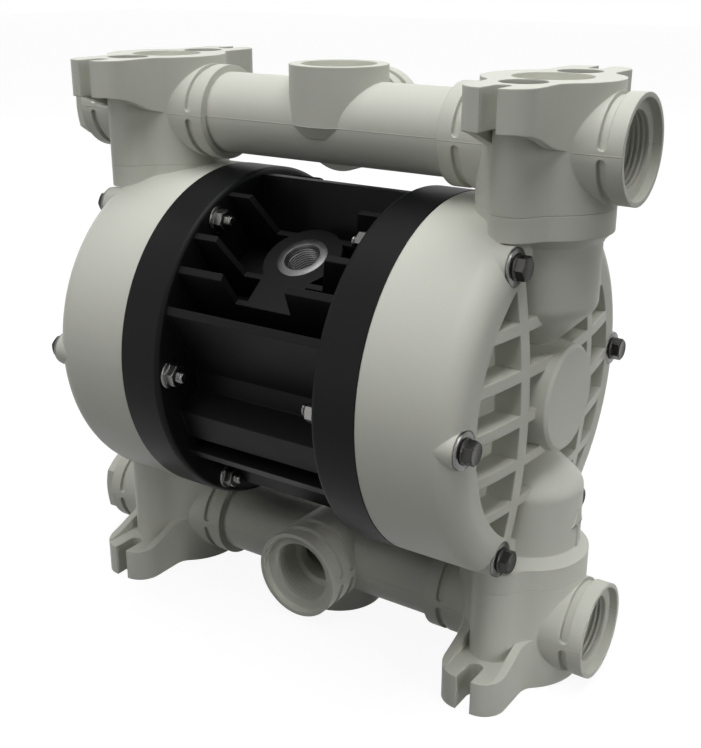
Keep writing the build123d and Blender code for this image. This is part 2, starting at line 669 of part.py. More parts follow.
def joint_seals():
    """A seal round each cage, in the step of the cover's bore."""
    made = []
    for x in (-ELBOW_X, ELBOW_X):
        disc = rod_z(JOINT_SEAL_R - FIT, JOINT_H, JOINT_H + JOINT_SEAL_T, x)
        made.append(disc - rod_z(VALVE_SINK_R, 0, SHAFT_H, x))
    return Compound(made)


def port_plug():
    """The plug in the left-hand end port of the lower manifold."""
    face = -END_PORT_X
    head = hexagon_x(PLUG_AF, face - PLUG_HEAD, face, 0, MANIFOLD_H)
    corner = PLUG_AF / sqrt(3)
    dome = turned_x([(face, 0), (face, corner), (face - PLUG_HEAD + PLUG_CHAMFER, corner),
                     (face - PLUG_HEAD, corner - 2 * PLUG_CHAMFER), (face - PLUG_HEAD, 0)])
    head = head & (Pos(0, 0, MANIFOLD_H) * dome)
    return head + rod_x(PORT_THREAD_R - FIT, face, face + PORT_SINK + PORT_THREAD_L - OVER, 0, MANIFOLD_H)


def plug_seal():
    face = -END_PORT_X
    return tube_x(PORT_SINK_R - FIT, PORT_THREAD_R + FIT, face, face + PORT_SINK, 0, MANIFOLD_H)


# Valves: z = 0 at the joint, flow upwards

def seat():
    flare = SEAT_FACE_RISE * BALL_RISE / SEAT_CONTACT_R
    bore = SEAT_CONTACT_R - flare
    return turned_z([(bore, -2 * SEAT_FACE_RISE), (SEAT_CONTACT_R + flare, 0), (VALVE_SINK_R - FIT, 0),
                     (VALVE_SINK_R - FIT, -VALVE_SINK), (bore, -VALVE_SINK)])


def cage():
    """Foot ring in the counterbore, four legs that guide the ball, and a ring that stops it."""
    guide = BALL_R + GUIDE_GAP
    stop = BALL_UP + BALL_LIFT + BALL_R + GUIDE_GAP
    crest = stop + CAGE_TOP_T
    base = rod_z(VALVE_SINK_R - FIT, 0, VALVE_SINK) - rod_z(guide + CAGE_BASE_GAP, -OVER, VALVE_SINK + OVER)
    top = rod_z(VALVE_BORE_R - FIT, stop, crest) - rod_z(CAGE_EYE_R, stop - OVER, crest + OVER)
    legs = rod_z(VALVE_BORE_R - FIT, 0, crest) - rod_z(guide, -OVER, crest + OVER)
    cross = block(-VALVE_BORE_R, VALVE_BORE_R, -CAGE_LEG_W / 2, CAGE_LEG_W / 2, 0, crest)
    cross = Rot(0, 0, 45) * (cross + Rot(0, 0, 90) * cross)
    return base + top + (legs & cross)


def valve_places():
    """Name, x and height of the four valves' joints."""
    return [("suction", "left", -ELBOW_X, JOINT_H), ("suction", "right", ELBOW_X, JOINT_H),
            ("delivery", "left", -ELBOW_X, 2 * SHAFT_H - JOINT_H),
            ("delivery", "right", ELBOW_X, 2 * SHAFT_H - JOINT_H)]


# Shaft, plates and diaphragms

def main_shaft():
    made = rod_x(SHAFT_R, -SHAFT_HALF, SHAFT_HALF)
    drilled = SHAFT_HALF - PLATE_SCREW_BITE - DRILL_RELIEF
    start, end = SHAFT_GROOVE
    for side in (-1, 1):
        made -= rod_x(PLATE_SCREW_R + FIT, side * drilled, side * (SHAFT_HALF + OVER))
        made -= tube_x(SHAFT_R + OVER, SHAFT_R - SHAFT_GROOVE_DEPTH, side * start, side * end)
    return at_shaft(made)


def inner_plate():
    hold = PLATE_IN_X
    bevel = hold - PLATE_EDGE
    made = turned_x([(SHAFT_HALF, PLATE_SCREW_R + FIT), (SHAFT_HALF, PLATE_R / 2),
                     (bevel - PLATE_CHAMFER, PLATE_R - PLATE_CHAMFER), (bevel, PLATE_R), (hold, PLATE_R),
                     (hold, PLATE_SCREW_R + FIT)])
    return at_shaft(made)


def outer_plate():
    hold = PLATE_OUT_X
    crest = hold + OUTER_PLATE_T
    made = turned_x([(hold, PLATE_SCREW_R + FIT), (hold, PLATE_R), (hold + OUTER_PLATE_RIM, PLATE_R),
                     (crest, PLATE_R / 2), (crest, PLATE_SCREW_R + FIT)])
    return at_shaft(made)


def plate_screw():
    seat_x = PLATE_OUT_X + OUTER_PLATE_T
    made = rod_x(PLATE_SCREW_R, SHAFT_HALF - PLATE_SCREW_BITE, seat_x)
    made += hexagon_x(PLATE_SCREW_AF, seat_x, seat_x + PLATE_SCREW_HEAD)
    return at_shaft(made)


def diaphragm():
    """Bead in its groove, a rolled web and a flat middle held by the plates."""
    bead = BEAD_DEPTH - SOFT_GAP
    rim = BEAD_R - SOFT_GAP
    root = CHAMBER_R - WEB_EDGE
    flat = PLATE_R + WEB_EDGE
    mid = (root + flat) / 2
    web = WEB_T / 2
    flat_t = DIAPHRAGM_T / 2
    hole = PLATE_SCREW_R + 2 * SOFT_GAP
    outline = make_face([
        Line((CLAMP_X - flat_t, hole), (CLAMP_X - flat_t, flat)),
        Line((CLAMP_X - flat_t, flat), (CLAMP_X - web, flat)),
        ThreePointArc((CLAMP_X - web, flat), (CLAMP_X + WEB_RISE - web, mid), (CLAMP_X - web, root)),
        Line((CLAMP_X - web, root), (CLAMP_X - bead, root)),
        Line((CLAMP_X - bead, root), (CLAMP_X - bead, rim)),
        Line((CLAMP_X - bead, rim), (CLAMP_X + bead, rim)),
        Line((CLAMP_X + bead, rim), (CLAMP_X + bead, CHAMBER_R)),
        Line((CLAMP_X + bead, CHAMBER_R), (CLAMP_X + web, root)),
        ThreePointArc((CLAMP_X + web, root), (CLAMP_X + WEB_RISE + web, mid), (CLAMP_X + web, flat)),
        Line((CLAMP_X + web, flat), (CLAMP_X + flat_t, flat)),
        Line((CLAMP_X + flat_t, flat), (CLAMP_X + flat_t, hole)),
        Line((CLAMP_X + flat_t, hole), (CLAMP_X - flat_t, hole))])
    return at_shaft(revolve(outline, Axis.X))


# Air distributor

def valve_sleeve():
    made = tube_x(SLEEVE_R - FIT, SPOOL_R, -SLEEVE_HALF, SLEEVE_HALF)
    for x in SLEEVE_PORT_X:
        for turn in (0, 90):
            hole = rod_z(SLEEVE_PORT_R, -SLEEVE_R - OVER, SLEEVE_R + OVER, x)
            made -= Rot(90 - TRAY_TILT + turn, 0, 0) * hole
    for x in SLEEVE_SEAL_X:
        for side in (-1, 1):
            made -= tube_x(SLEEVE_R + OVER, SLEEVE_R - SLEEVE_SEAL_T, side * x - SLEEVE_SEAL_T / 2,
                           side * x + SLEEVE_SEAL_T / 2)
    return at_shaft(made)


def sleeve_seals():
    made = []
    for x in SLEEVE_SEAL_X:
        for side in (-1, 1):
            made.append(at_shaft(tube_x(SLEEVE_R - FIT, SLEEVE_R - SLEEVE_SEAL_T + FIT,
                                        side * x - SLEEVE_SEAL_T / 2, side * x + SLEEVE_SEAL_T / 2)))
    return Compound(made)


def valve_spool():
    half = SLEEVE_HALF - SPOOL_TRAVEL - FIT
    made = tube_x(SPOOL_R - RUNNING, SPOOL_BORE_R, -half, half)
    start, end = SPOOL_WAIST
    for side in (-1, 1):
        made -= tube_x(SPOOL_R + OVER, SPOOL_R - SPOOL_WAIST_DEPTH, side * start, side * end)
    return at_shaft(made)


def valve_cap():
    """The right-hand end cap of the distributor, which carries the shaft's bush and seal."""
    end = AIR_RECESS_X + CAP_FLANGE_T
    made = rod_x(SLEEVE_R - FIT, SLEEVE_HALF, AIR_RECESS_X) + rod_x(CAP_FLANGE_R, AIR_RECESS_X, end)
    made -= rod_x(BUSH_R, SLEEVE_HALF + SEAL_SHELF, end + OVER)
    made -= rod_x(SPOOL_BORE_R, SLEEVE_HALF - OVER, AIR_RECESS_X)
    for turn in range(4):
        hole = rod_x(CAP_SCREW_R + FIT, AIR_RECESS_X - OVER, end + OVER, 0, CAP_SCREW_PCR)
        made -= Rot(45 + 90 * turn, 0, 0) * hole
    return at_shaft(made)


def cap_screws():
    made = []
    for turn in range(4):
        screw = rod_x(CAP_SCREW_R - FIT, AIR_RECESS_X - CAP_SCREW_BITE, AIR_RECESS_X + CAP_FLANGE_T,
                      0, CAP_SCREW_PCR)
        made.append(at_shaft(Rot(45 + 90 * turn, 0, 0) * screw))
    return Compound(made)


def shaft_bush():
    end = AIR_RECESS_X + CAP_FLANGE_T
    return at_shaft(tube_x(BUSH_R - FIT, SHAFT_R + RUNNING, end - BUSH_L, end))


def shaft_seal():
    start = SLEEVE_HALF + SEAL_SHELF
    return at_shaft(tube_x(BUSH_R - FIT, SHAFT_R + RUNNING, start, start + SEAL_L))


def build_nodes():
    right = {
        "cover": cover(), "cover_bolts": cover_bolts(), "cover_washers": cover_washers(),
        "cover_nuts": cover_nuts(), "diaphragm": diaphragm(), "inner_plate": inner_plate(),
        "outer_plate": outer_plate(), "plate_screw": plate_screw(), "valve_cap": valve_cap(),
        "cap_screws": cap_screws(), "shaft_bush": shaft_bush(), "shaft_seal": shaft_seal()}
    lower = {
        "manifold": manifold(), "manifold_screws": manifold_screws(),
        "manifold_washers": manifold_washers(), "collar_inserts": collar_inserts(),
        "joint_seals": joint_seals(), "port_plug": port_plug(), "plug_seal": plug_seal()}
    nodes = {
        "centre_block": centre_block(),
        "air_inlet_insert": port_insert(True, INLET_INSERT_R, INLET_THREAD_R),
        "exhaust_insert": port_insert(False, EXHAUST_INSERT_R, EXHAUST_THREAD_R),
        "main_shaft": main_shaft(), "valve_sleeve": valve_sleeve(), "sleeve_seals": sleeve_seals(),
        "valve_spool": valve_spool()}
    for name, shape in right.items():
        nodes[name + "_right"] = shape
        nodes[name + "_left"] = left_of(shape)
    for name, shape in lower.items():
        nodes["lower_" + name] = shape
        nodes["upper_" + name] = upper_of(shape)
    one_seat, one_cage = seat(), cage()
    for kind, side, x, z in valve_places():
        place = Pos(x, 0, z)
        nodes[f"{kind}_seat_{side}"] = place * one_seat
        nodes[f"{kind}_cage_{side}"] = place * one_cage
        nodes[f"{kind}_ball_{side}"] = Pos(x, 0, z + BALL_UP) * Sphere(BALL_R)
    return nodes


def main():
    os.makedirs("parts", exist_ok=True)
    for name, shape in build_nodes().items():
        export_step(shape, f"parts/{name}.step")


if __name__ == "__main__":
    main()
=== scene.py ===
import json
import math

import bmesh
import bpy
import numpy as np
from mathutils import Matrix, Vector


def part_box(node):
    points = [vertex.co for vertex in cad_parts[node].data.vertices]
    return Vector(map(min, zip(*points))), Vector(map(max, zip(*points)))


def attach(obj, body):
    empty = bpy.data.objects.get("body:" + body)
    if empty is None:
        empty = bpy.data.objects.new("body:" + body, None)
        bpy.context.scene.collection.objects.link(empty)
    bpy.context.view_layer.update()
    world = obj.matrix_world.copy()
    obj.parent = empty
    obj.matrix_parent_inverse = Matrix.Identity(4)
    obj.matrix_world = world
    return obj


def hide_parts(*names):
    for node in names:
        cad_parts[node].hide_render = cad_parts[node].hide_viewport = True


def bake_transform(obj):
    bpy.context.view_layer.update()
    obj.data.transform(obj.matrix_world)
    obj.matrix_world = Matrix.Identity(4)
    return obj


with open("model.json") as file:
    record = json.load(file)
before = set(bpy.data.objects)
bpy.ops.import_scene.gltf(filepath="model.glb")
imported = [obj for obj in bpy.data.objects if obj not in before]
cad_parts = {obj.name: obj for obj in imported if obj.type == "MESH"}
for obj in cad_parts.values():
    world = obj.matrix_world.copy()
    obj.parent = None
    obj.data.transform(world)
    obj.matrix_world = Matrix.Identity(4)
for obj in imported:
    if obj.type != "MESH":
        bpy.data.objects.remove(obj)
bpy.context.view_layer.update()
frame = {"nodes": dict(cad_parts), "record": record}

bl_info = {
    "name": "Diaphragm pump finish",
    "version": (1, 0, 0),
    "blender": (4, 5, 0),
    "location": "3D View > Sidebar > Pump",
    "description": "Finishes an air operated diaphragm pump: mouldings, fasteners, threads and a studio",
    "category": "Object",
}

MM = 0.001


def middle_height(node):
    """Height of the middle of a solid's box."""
    low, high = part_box(node)
    return (low.z + high.z) / 2


AXIS_HEIGHT = middle_height("main_shaft")
LOWER_PIPE_HEIGHT = middle_height("lower_port_plug")
UPPER_PIPE_HEIGHT = middle_height("upper_port_plug")
END_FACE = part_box("lower_manifold")[1].x
BOLT_SEAT, WASHER_TOP = (corner.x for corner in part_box("cover_washers_right"))
BOLT_TIP, HEAD_TOP = (corner.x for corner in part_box("cover_bolts_right"))
NUT_FRONT, RING_BACK = (corner.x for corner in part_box("cover_nuts_right"))
ELBOW_X = 112 * MM             # of the axes of elbows and necks, from the middle

# The diaphragms' section: its middle plane, radii from the shaft's axis, half thicknesses
CLAMP_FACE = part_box("inner_plate_right")[1].x + 1.7 * MM
HOLE_RADIUS = 5.4 * MM
FLAT_RADIUS = 38.0 * MM        # of the flat middle, where the rolled web begins
ROOT_RADIUS = 64.0 * MM        # where the web ends and the inner side of the bead begins
BEAD_RADIUS = 66.0 * MM        # where the outer side of the bead begins
RIM_RADIUS = 74.8 * MM
WEB_RISE = 6.0 * MM
FLAT_HALF, WEB_HALF, BEAD_HALF = 1.5 * MM, 1.2 * MM, 1.8 * MM
SECTORS = 12                   # wedges of a diaphragm
SECTOR_STEPS = 7               # positions of the section over a wedge
WEB_STEPS = 17                 # points of the section over the web


# Settings

class PumpSizes(bpy.types.PropertyGroup):
    """Sizes of the pieces that are built here"""
    bolt_circle: bpy.props.FloatProperty(
        name="Bolt circle", description="Radius of the circle of cover bolts",
        default=80.8 * MM, subtype="DISTANCE", unit="LENGTH")
    bolt_reach: bpy.props.FloatProperty(
        name="Bolt reach", description="Length of the threaded ends past the ends of the plain solids",
        default=2.5 * MM, subtype="DISTANCE", unit="LENGTH")
    bolt_radius: bpy.props.FloatProperty(
        name="Bolt radius", description="Major radius of the cover bolts' thread",
        default=3 * MM, subtype="DISTANCE", unit="LENGTH")
    bolt_pitch: bpy.props.FloatProperty(
        name="Bolt pitch", description="Pitch of the cover bolts' thread",
        default=1 * MM, subtype="DISTANCE", unit="LENGTH")
    bolt_depth: bpy.props.FloatProperty(
        name="Bolt thread depth", description="Height of the ridges of the cover bolts' thread",
        default=0.6 * MM, subtype="DISTANCE", unit="LENGTH")
    bolt_thread: bpy.props.FloatProperty(
        name="Bolt thread", description="Length of the cover bolts' thread",
        default=24 * MM, subtype="DISTANCE", unit="LENGTH")
    hex_width: bpy.props.FloatProperty(
        name="Hexagon width", description="Width across the flats of bolt heads and nuts",
        default=10 * MM, subtype="DISTANCE", unit="LENGTH")
    head_flange: bpy.props.FloatProperty(
        name="Head flange", description="Radius of the flange under a bolt head",
        default=6.1 * MM, subtype="DISTANCE", unit="LENGTH")
    nut_flange: bpy.props.FloatProperty(
        name="Nut flange", description="Radius of the flange of a nut",
        default=7.1 * MM, subtype="DISTANCE", unit="LENGTH")
    washer_radius: bpy.props.FloatProperty(
        name="Washer radius", description="Outer radius of the washers under the bolt heads",
        default=8.6 * MM, subtype="DISTANCE", unit="LENGTH")
    washer_bore: bpy.props.FloatProperty(
        name="Washer bore", description="Radius of the hole of a washer",
        default=3.3 * MM, subtype="DISTANCE", unit="LENGTH")
    air_face: bpy.props.FloatProperty(
        name="Air port face", description="Distance of the air inserts' faces from the shaft axis",
        default=64.4 * MM, subtype="DISTANCE", unit="LENGTH")
    air_depth: bpy.props.FloatProperty(
        name="Air insert length", description="Length of the air inserts",
        default=18.4 * MM, subtype="DISTANCE", unit="LENGTH")
    plug_width: bpy.props.FloatProperty(
        name="Plug width", description="Width across the flats of the port plugs",
        default=41 * MM, subtype="DISTANCE", unit="LENGTH")
    elbow_x: bpy.props.FloatProperty(
        name="Elbow place", description="Distance of the necks' axes from the middle",
        default=ELBOW_X, subtype="DISTANCE", unit="LENGTH")
    neck_radius: bpy.props.FloatProperty(
        name="Neck radius", description="Radius of the covers' necks",
        default=26.8 * MM, subtype="DISTANCE", unit="LENGTH")
    arrow_height: bpy.props.FloatProperty(
        name="Arrow height", description="Height of the flow arrows' feet above the floor",
        default=70 * MM, subtype="DISTANCE", unit="LENGTH")
    arrow_angle: bpy.props.FloatProperty(
        name="Arrow turn", description="Angle of the flow arrows round the necks from outward",
        default=math.radians(2), subtype="ANGLE")
    arrow_lift: bpy.props.FloatProperty(
        name="Arrow lift", description="Height of the flow arrows above the moulding",
        default=0.6 * MM, subtype="DISTANCE", unit="LENGTH")
    side_port: bpy.props.FloatProperty(
        name="Middle port", description="Distance of the middle ports' faces from the pipes' axes",
        default=41.2 * MM, subtype="DISTANCE", unit="LENGTH")
    port_sink: bpy.props.FloatProperty(
        name="Port recess", description="Depth of the plain recess in front of a port's thread",
        default=4 * MM, subtype="DISTANCE", unit="LENGTH")
    port_thread_length: bpy.props.FloatProperty(
        name="Port thread length", description="Length of the thread of a port",
        default=18 * MM, subtype="DISTANCE", unit="LENGTH")
    port_thread_radius: bpy.props.FloatProperty(
        name="Port thread radius", description="Major radius of the pipe thread in the ports",
        default=16.6 * MM, subtype="DISTANCE", unit="LENGTH")
    port_thread_depth: bpy.props.FloatProperty(
        name="Port thread depth", description="Height of the ridges of the ports' shallow thread",
        default=0.04 * MM, subtype="DISTANCE", unit="LENGTH")
    port_pitch: bpy.props.FloatProperty(
        name="Port pitch", description="Pitch of the pipe thread in the ports",
        default=2.309 * MM, subtype="DISTANCE", unit="LENGTH")


class PumpColours(bpy.types.PropertyGroup):
    """Colours of the finishes"""
    white_plastic: bpy.props.FloatVectorProperty(
        name="White plastic", description="Colour of covers and manifolds",
        default=(0.612, 0.617, 0.552), subtype="COLOR", size=3, min=0, max=1)
    black_plastic: bpy.props.FloatVectorProperty(
        name="Black plastic", description="Colour of the centre block",
        default=(0.0055, 0.0057, 0.0062), subtype="COLOR", size=3, min=0, max=1)
    # Washer steel is far darker than bare stainless steel. The darkness is a painted dark reflection of dark
    # surroundings, because the room the metal mirrors is white.
    washer_steel_dark_reflection: bpy.props.FloatVectorProperty(
        name="Washer steel", description="Colour of washers, nuts and the bolts' threaded ends",
        default=(0.15, 0.148, 0.145), subtype="COLOR", size=3, min=0, max=1)
    # Bolt steel is nearly black. This is a painted dark reflection on the bolt heads, standing in for dark
    # surroundings mirrored in the metal.
    bolt_steel_dark_reflection: bpy.props.FloatVectorProperty(
        name="Bolt steel", description="Colour of the cover bolts' heads",
        default=(0.040, 0.039, 0.038), subtype="COLOR", size=3, min=0, max=1)
    insert_steel: bpy.props.FloatVectorProperty(
        name="Insert steel", description="Colour of the air inserts",
        default=(0.13, 0.132, 0.13), subtype="COLOR", size=3, min=0, max=1)
    bush_bronze: bpy.props.FloatVectorProperty(
        name="Bush bronze", description="Colour of the shaft bushes",
        default=(0.45, 0.3, 0.14), subtype="COLOR", size=3, min=0, max=1)
    spool_plastic: bpy.props.FloatVectorProperty(
        name="Spool plastic", description="Colour of the air valve's mouldings",
        default=(0.5, 0.52, 0.55), subtype="COLOR", size=3, min=0, max=1)
    seal_rubber: bpy.props.FloatVectorProperty(
        name="Seal rubber", description="Colour of the seals",
        default=(0.02, 0.02, 0.021), subtype="COLOR", size=3, min=0, max=1)
    diaphragm_rubber: bpy.props.FloatVectorProperty(
        name="Diaphragm rubber", description="Colour of the diaphragms",
        default=(0.035, 0.035, 0.038), subtype="COLOR", size=3, min=0, max=1)
    ball_rubber: bpy.props.FloatVectorProperty(
        name="Ball rubber", description="Colour of the valve balls",
        default=(0.05, 0.05, 0.052), subtype="COLOR", size=3, min=0, max=1)


class PumpStudio(bpy.types.PropertyGroup):
    """Strengths of the lamps, the room and the floor"""
    key_power: bpy.props.FloatProperty(
        name="Key power", description="Power of the large lamp overhead",
        default=32.0, min=0, unit="POWER")
    front_power: bpy.props.FloatProperty(
        name="Front power", description="Power of the lamp above the front",
        default=5.5, min=0, unit="POWER")
    left_power: bpy.props.FloatProperty(
        name="Left power", description="Power of each of the two lamps at the front on the left",
        default=3.4, min=0, unit="POWER")
    side_power: bpy.props.FloatProperty(
        name="Side power", description="Power of the lamp at the right",
        default=5.5, min=0, unit="POWER")
    back_power: bpy.props.FloatProperty(
        name="Back power", description="Power of the lamp behind; the one at the left has half of it",
        default=7.0, min=0, unit="POWER")
    low_power: bpy.props.FloatProperty(
        name="Low power", description="Power of the small lamp at the foot on the right",
        default=0.03, min=0, unit="POWER")
    room_light: bpy.props.FloatProperty(
        name="Room light", description="Strength of the room's even light, on top of the lamps",
        default=0.0, min=0)
    floor_shade: bpy.props.FloatVectorProperty(
        name="Floor shade", description="Colour of the floor under its white glow",
        default=(0.12, 0.12, 0.12), subtype="COLOR", size=3, min=0, max=1)
    floor_glow: bpy.props.FloatProperty(
        name="Floor glow", description="White that the camera sees on the floor, shadow or not",
        default=0.92, min=0, max=1)


# Shader groups and materials

def new_group(name, inputs, outputs):
    """An empty shader group with its sockets; inputs are (name, kind, default), outputs (name, kind)."""
    group = bpy.data.node_groups.new(name, "ShaderNodeTree")
    for label, kind, default in inputs:
        socket = group.interface.new_socket(label, in_out="INPUT", socket_type=f"NodeSocket{kind}")
        if default is not None:
            socket.default_value = default
    for label, kind in outputs:
        group.interface.new_socket(label, in_out="OUTPUT", socket_type=f"NodeSocket{kind}")
    return group, group.nodes.new("NodeGroupInput"), group.nodes.new("NodeGroupOutput")


def joined(tree, kind, links=None, **settings):
    """A node with its settings, and its inputs linked or set by name or number."""
    node = tree.nodes.new(kind)
    for key, value in settings.items():
        setattr(node, key, value)
    for socket, source in (links or {}).items():
        if isinstance(source, bpy.types.NodeSocket):
            tree.links.new(source, node.inputs[socket])
        else:
            node.inputs[socket].default_value = source
    return node


def worked(tree, operation, *values):
    """Result of a Math node; each value is a socket or a number."""
    return joined(tree, "ShaderNodeMath", dict(enumerate(values)), operation=operation).outputs[0]


def noise(tree, place, scale, detail):
    """Grey of a noise texture; its cells are 1 / scale metres across."""
    return joined(tree, "ShaderNodeTexNoise", {"Vector": place, "Scale": scale, "Detail": detail}).outputs["Fac"]


def own_place(tree):
    """The surface's point in the piece's own coordinates."""
    return joined(tree, "ShaderNodeTexCoord").outputs["Object"]


def drifted(tree, colour, grey, drift):
    """The colour, lighter or darker by up to half the drift as a grey goes from 0 to 1."""
    level = worked(tree, "MULTIPLY_ADD", worked(tree, "SUBTRACT", grey, 0.5), drift, 1.0)
    return joined(tree, "ShaderNodeHueSaturation", {"Color": colour, "Value": level}).outputs["Color"]


def put_out(group, out, results):
    """The group, with each result linked to its output of that name."""
    for label, source in results.items():
        group.links.new(source, out.inputs[label])
    return group


def moulded_grain_group():
    """Skin of a moulding. The height is a fine noise plus 0.6 of a broad one, the colour drifts with a
    slow noise, and the roughness follows the broad one."""
    group, given, out = new_group(
        "moulded_grain",
        [("Colour", "Color", None), ("Pebble Size", "Float", 900.0), ("Drift", "Float", 0.05)],
        [("Colour", "Color"), ("Height", "Float"), ("Roughness Shift", "Float")])
    place = own_place(group)
    fine = noise(group, place, given.outputs["Pebble Size"], 2.0)
    broad = noise(group, place, 55.0, 3.0)
    slow = noise(group, place, 9.0, 2.0)
    return put_out(group, out, {
        "Colour": drifted(group, given.outputs["Colour"], slow, given.outputs["Drift"]),
        "Height": worked(group, "MULTIPLY_ADD", broad, 0.6, fine),
        "Roughness Shift": worked(group, "MULTIPLY", broad, 0.12)})


def parting_line_group():
    """A thin raised line at one height: 1 within half its width of that height on the pipe and the
    ports, and 0 elsewhere, which is within the elbow's radius or where neither x nor y is near 0."""
    group, given, out = new_group(
        "parting_line",
        [("Line Height", "Float", LOWER_PIPE_HEIGHT), ("Half Width", "Float", 0.35 * MM),
         ("Elbow Place", "Float", ELBOW_X), ("Elbow Radius", "Float", 32 * MM),
         ("Port Radius", "Float", 24.6 * MM)],
        [("Mask", "Float")])
    place = joined(group, "ShaderNodeSeparateXYZ", {0: own_place(group)}).outputs
    along = worked(group, "ABSOLUTE", place["X"])
    aside = worked(group, "ABSOLUTE", place["Y"])
    beside = worked(group, "SUBTRACT", along, given.outputs["Elbow Place"])
    flat = joined(group, "ShaderNodeCombineXYZ", {"X": beside, "Y": aside}).outputs[0]
    reach = joined(group, "ShaderNodeVectorMath", {0: flat}, operation="LENGTH").outputs["Value"]
    outside = worked(group, "GREATER_THAN", reach, given.outputs["Elbow Radius"])
    slim = worked(group, "LESS_THAN", worked(group, "MINIMUM", along, aside), given.outputs["Port Radius"])
    away = worked(group, "ABSOLUTE", worked(group, "SUBTRACT", place["Z"], given.outputs["Line Height"]))
    line = joined(group, "ShaderNodeMapRange", {
        "Value": away, "From Min": 0.0, "From Max": given.outputs["Half Width"], "To Min": 1.0, "To Max": 0.0},
        interpolation_type="SMOOTHSTEP").outputs["Result"]
    there = worked(group, "MULTIPLY", outside, slim)
    return put_out(group, out, {"Mask": worked(group, "MULTIPLY", line, there)})


def machined_group():
    """Turned or rolled metal: the height is noise drawn out along one axis, and specks drift the colour
    and the roughness."""
    group, given, out = new_group(
        "machined_metal",
        [("Colour", "Color", None), ("Stretch", "Vector", (300.0, 3000.0, 3000.0)), ("Drift", "Float", 0.12)],
        [("Colour", "Color"), ("Height", "Float"), ("Roughness Shift", "Float")])
    place = own_place(group)
    drawn = joined(group, "ShaderNodeVectorMath", {0: place, 1: given.outputs["Stretch"]}, operation="MULTIPLY")
    specks = noise(group, place, 260.0, 3.0)
    return put_out(group, out, {
        "Colour": drifted(group, given.outputs["Colour"], specks, given.outputs["Drift"]),
        "Height": noise(group, drawn.outputs[0], 1.0, 3.0),
        "Roughness Shift": worked(group, "MULTIPLY", specks, 0.25)})


def blank_material(name):
    """A new material, its tree and its Principled shader."""
    made = bpy.data.materials.new(name)
    made.use_nodes = True
    tree = made.node_tree
    return made, tree, tree.nodes["Principled BSDF"]


def effect_node(tree, name, maker):
    """A node of a shader group, which is made the first time."""
    return joined(tree, "ShaderNodeGroup", node_tree=bpy.data.node_groups.get(name) or maker())


def dress(tree, skin, effect, height, roughness, edge):
    """Links an effect's colour and roughness to the skin, and its height and softened edges to the normal."""
    rough = worked(tree, "ADD", effect.outputs["Roughness Shift"], roughness)
    soft = joined(tree, "ShaderNodeBevel", {"Radius": edge}, samples=6)
    bump = joined(tree, "ShaderNodeBump", {
        "Height": height, "Normal": soft.outputs["Normal"], "Distance": 1.0, "Strength": 1.0})
    tree.links.new(effect.outputs["Colour"], skin.inputs["Base Color"])
    tree.links.new(rough, skin.inputs["Roughness"])
    tree.links.new(bump.outputs["Normal"], skin.inputs["Normal"])


def plastic(name, colour, roughness, edge, drift=0.05, pebble=0.035 * MM, line_height=None, shine=0.3):
    """Moulded plastic with softened edges, a fine pebble and, where asked, a parting line."""
    made, tree, skin = blank_material(name)
    skin.inputs["Specular IOR Level"].default_value = shine
    grain = effect_node(tree, "moulded_grain", moulded_grain_group)
    grain.inputs["Colour"].default_value = (*colour, 1)
    grain.inputs["Drift"].default_value = drift
    height = worked(tree, "MULTIPLY", grain.outputs["Height"], pebble)
    if line_height is not None:
        line = effect_node(tree, "parting_line", parting_line_group)
        line.inputs["Line Height"].default_value = line_height
        height = worked(tree, "MULTIPLY_ADD", line.outputs["Mask"], 0.22 * MM, height)
    mean_shift = 0.06
    dress(tree, skin, grain, height, roughness - mean_shift, edge)
    return made


def metal(name, colour, roughness, edge):
    """Turned or rolled metal with softened edges."""
    made, tree, skin = blank_material(name)
    skin.inputs["Metallic"].default_value = 1.0
    cut = effect_node(tree, "machined_metal", machined_group)
    cut.inputs["Colour"].default_value = (*colour, 1)
    relief, mean_shift = 0.006 * MM, 0.12
    dress(tree, skin, cut, worked(tree, "MULTIPLY", cut.outputs["Height"], relief), roughness - mean_shift, edge)
    return made


def rubber(name, colour, roughness):
    """Dull moulded rubber, finer in its pebble and more uneven in its colour than the plastic."""
    return plastic(name, colour, roughness, edge=0.3 * MM, drift=0.2, pebble=0.02 * MM)


# Surfaces worked out with numpy

TURNED_COLUMNS, FINE_COLUMNS, ROD_COLUMNS = 48, 72, 28     # points once round a piece


def mesh_object(name, grids, material, crease=35.0):
    """One object from grids of points. A grid is (rows, columns, 3) and its columns close into rings.
    Points in the same place become one, so rows on the axis close as fans and rows that meet are joined.
    Edges sharper than the crease, in degrees, stay sharp."""
    points, quads = [], []
    start = 0
    for grid in grids:
        rows, columns = grid.shape[:2]
        points.append(grid.reshape(-1, 3))
        i, j = np.meshgrid(np.arange(rows - 1), np.arange(columns), indexing="ij")
        k = (j + 1) % columns
        corners = [i * columns + j, i * columns + k, (i + 1) * columns + k, (i + 1) * columns + j]
        quads.append(start + np.stack(corners, -1).reshape(-1, 4))
        start += rows * columns
    mesh = bpy.data.meshes.new(name)
    mesh.from_pydata(np.concatenate(points).tolist(), [], np.concatenate(quads).tolist())
    work = bmesh.new()
    work.from_mesh(mesh)
    bmesh.ops.remove_doubles(work, verts=work.verts, dist=0.0001 * MM)
    work.to_mesh(mesh)
    work.free()
    mesh.polygons.foreach_set("use_smooth", np.ones(len(mesh.polygons), bool))
    mesh.set_sharp_from_angle(angle=math.radians(crease))
    mesh.materials.append(material)
    mesh.validate()
    made = bpy.data.objects.new(name, mesh)
    bpy.context.scene.collection.objects.link(made)
    return made


def frame_on(direction):
    """Two unit vectors square to a direction, so that they and it make a right-handed set."""
    w = np.array(direction, float)
    w /= np.linalg.norm(w)
    side = np.array([0.0, 0.0, 1.0]) if abs(w[2]) < 0.9 else np.array([0.0, 1.0, 0.0])
    u = np.cross(side, w)
    u /= np.linalg.norm(u)
    return u, np.cross(w, u), w


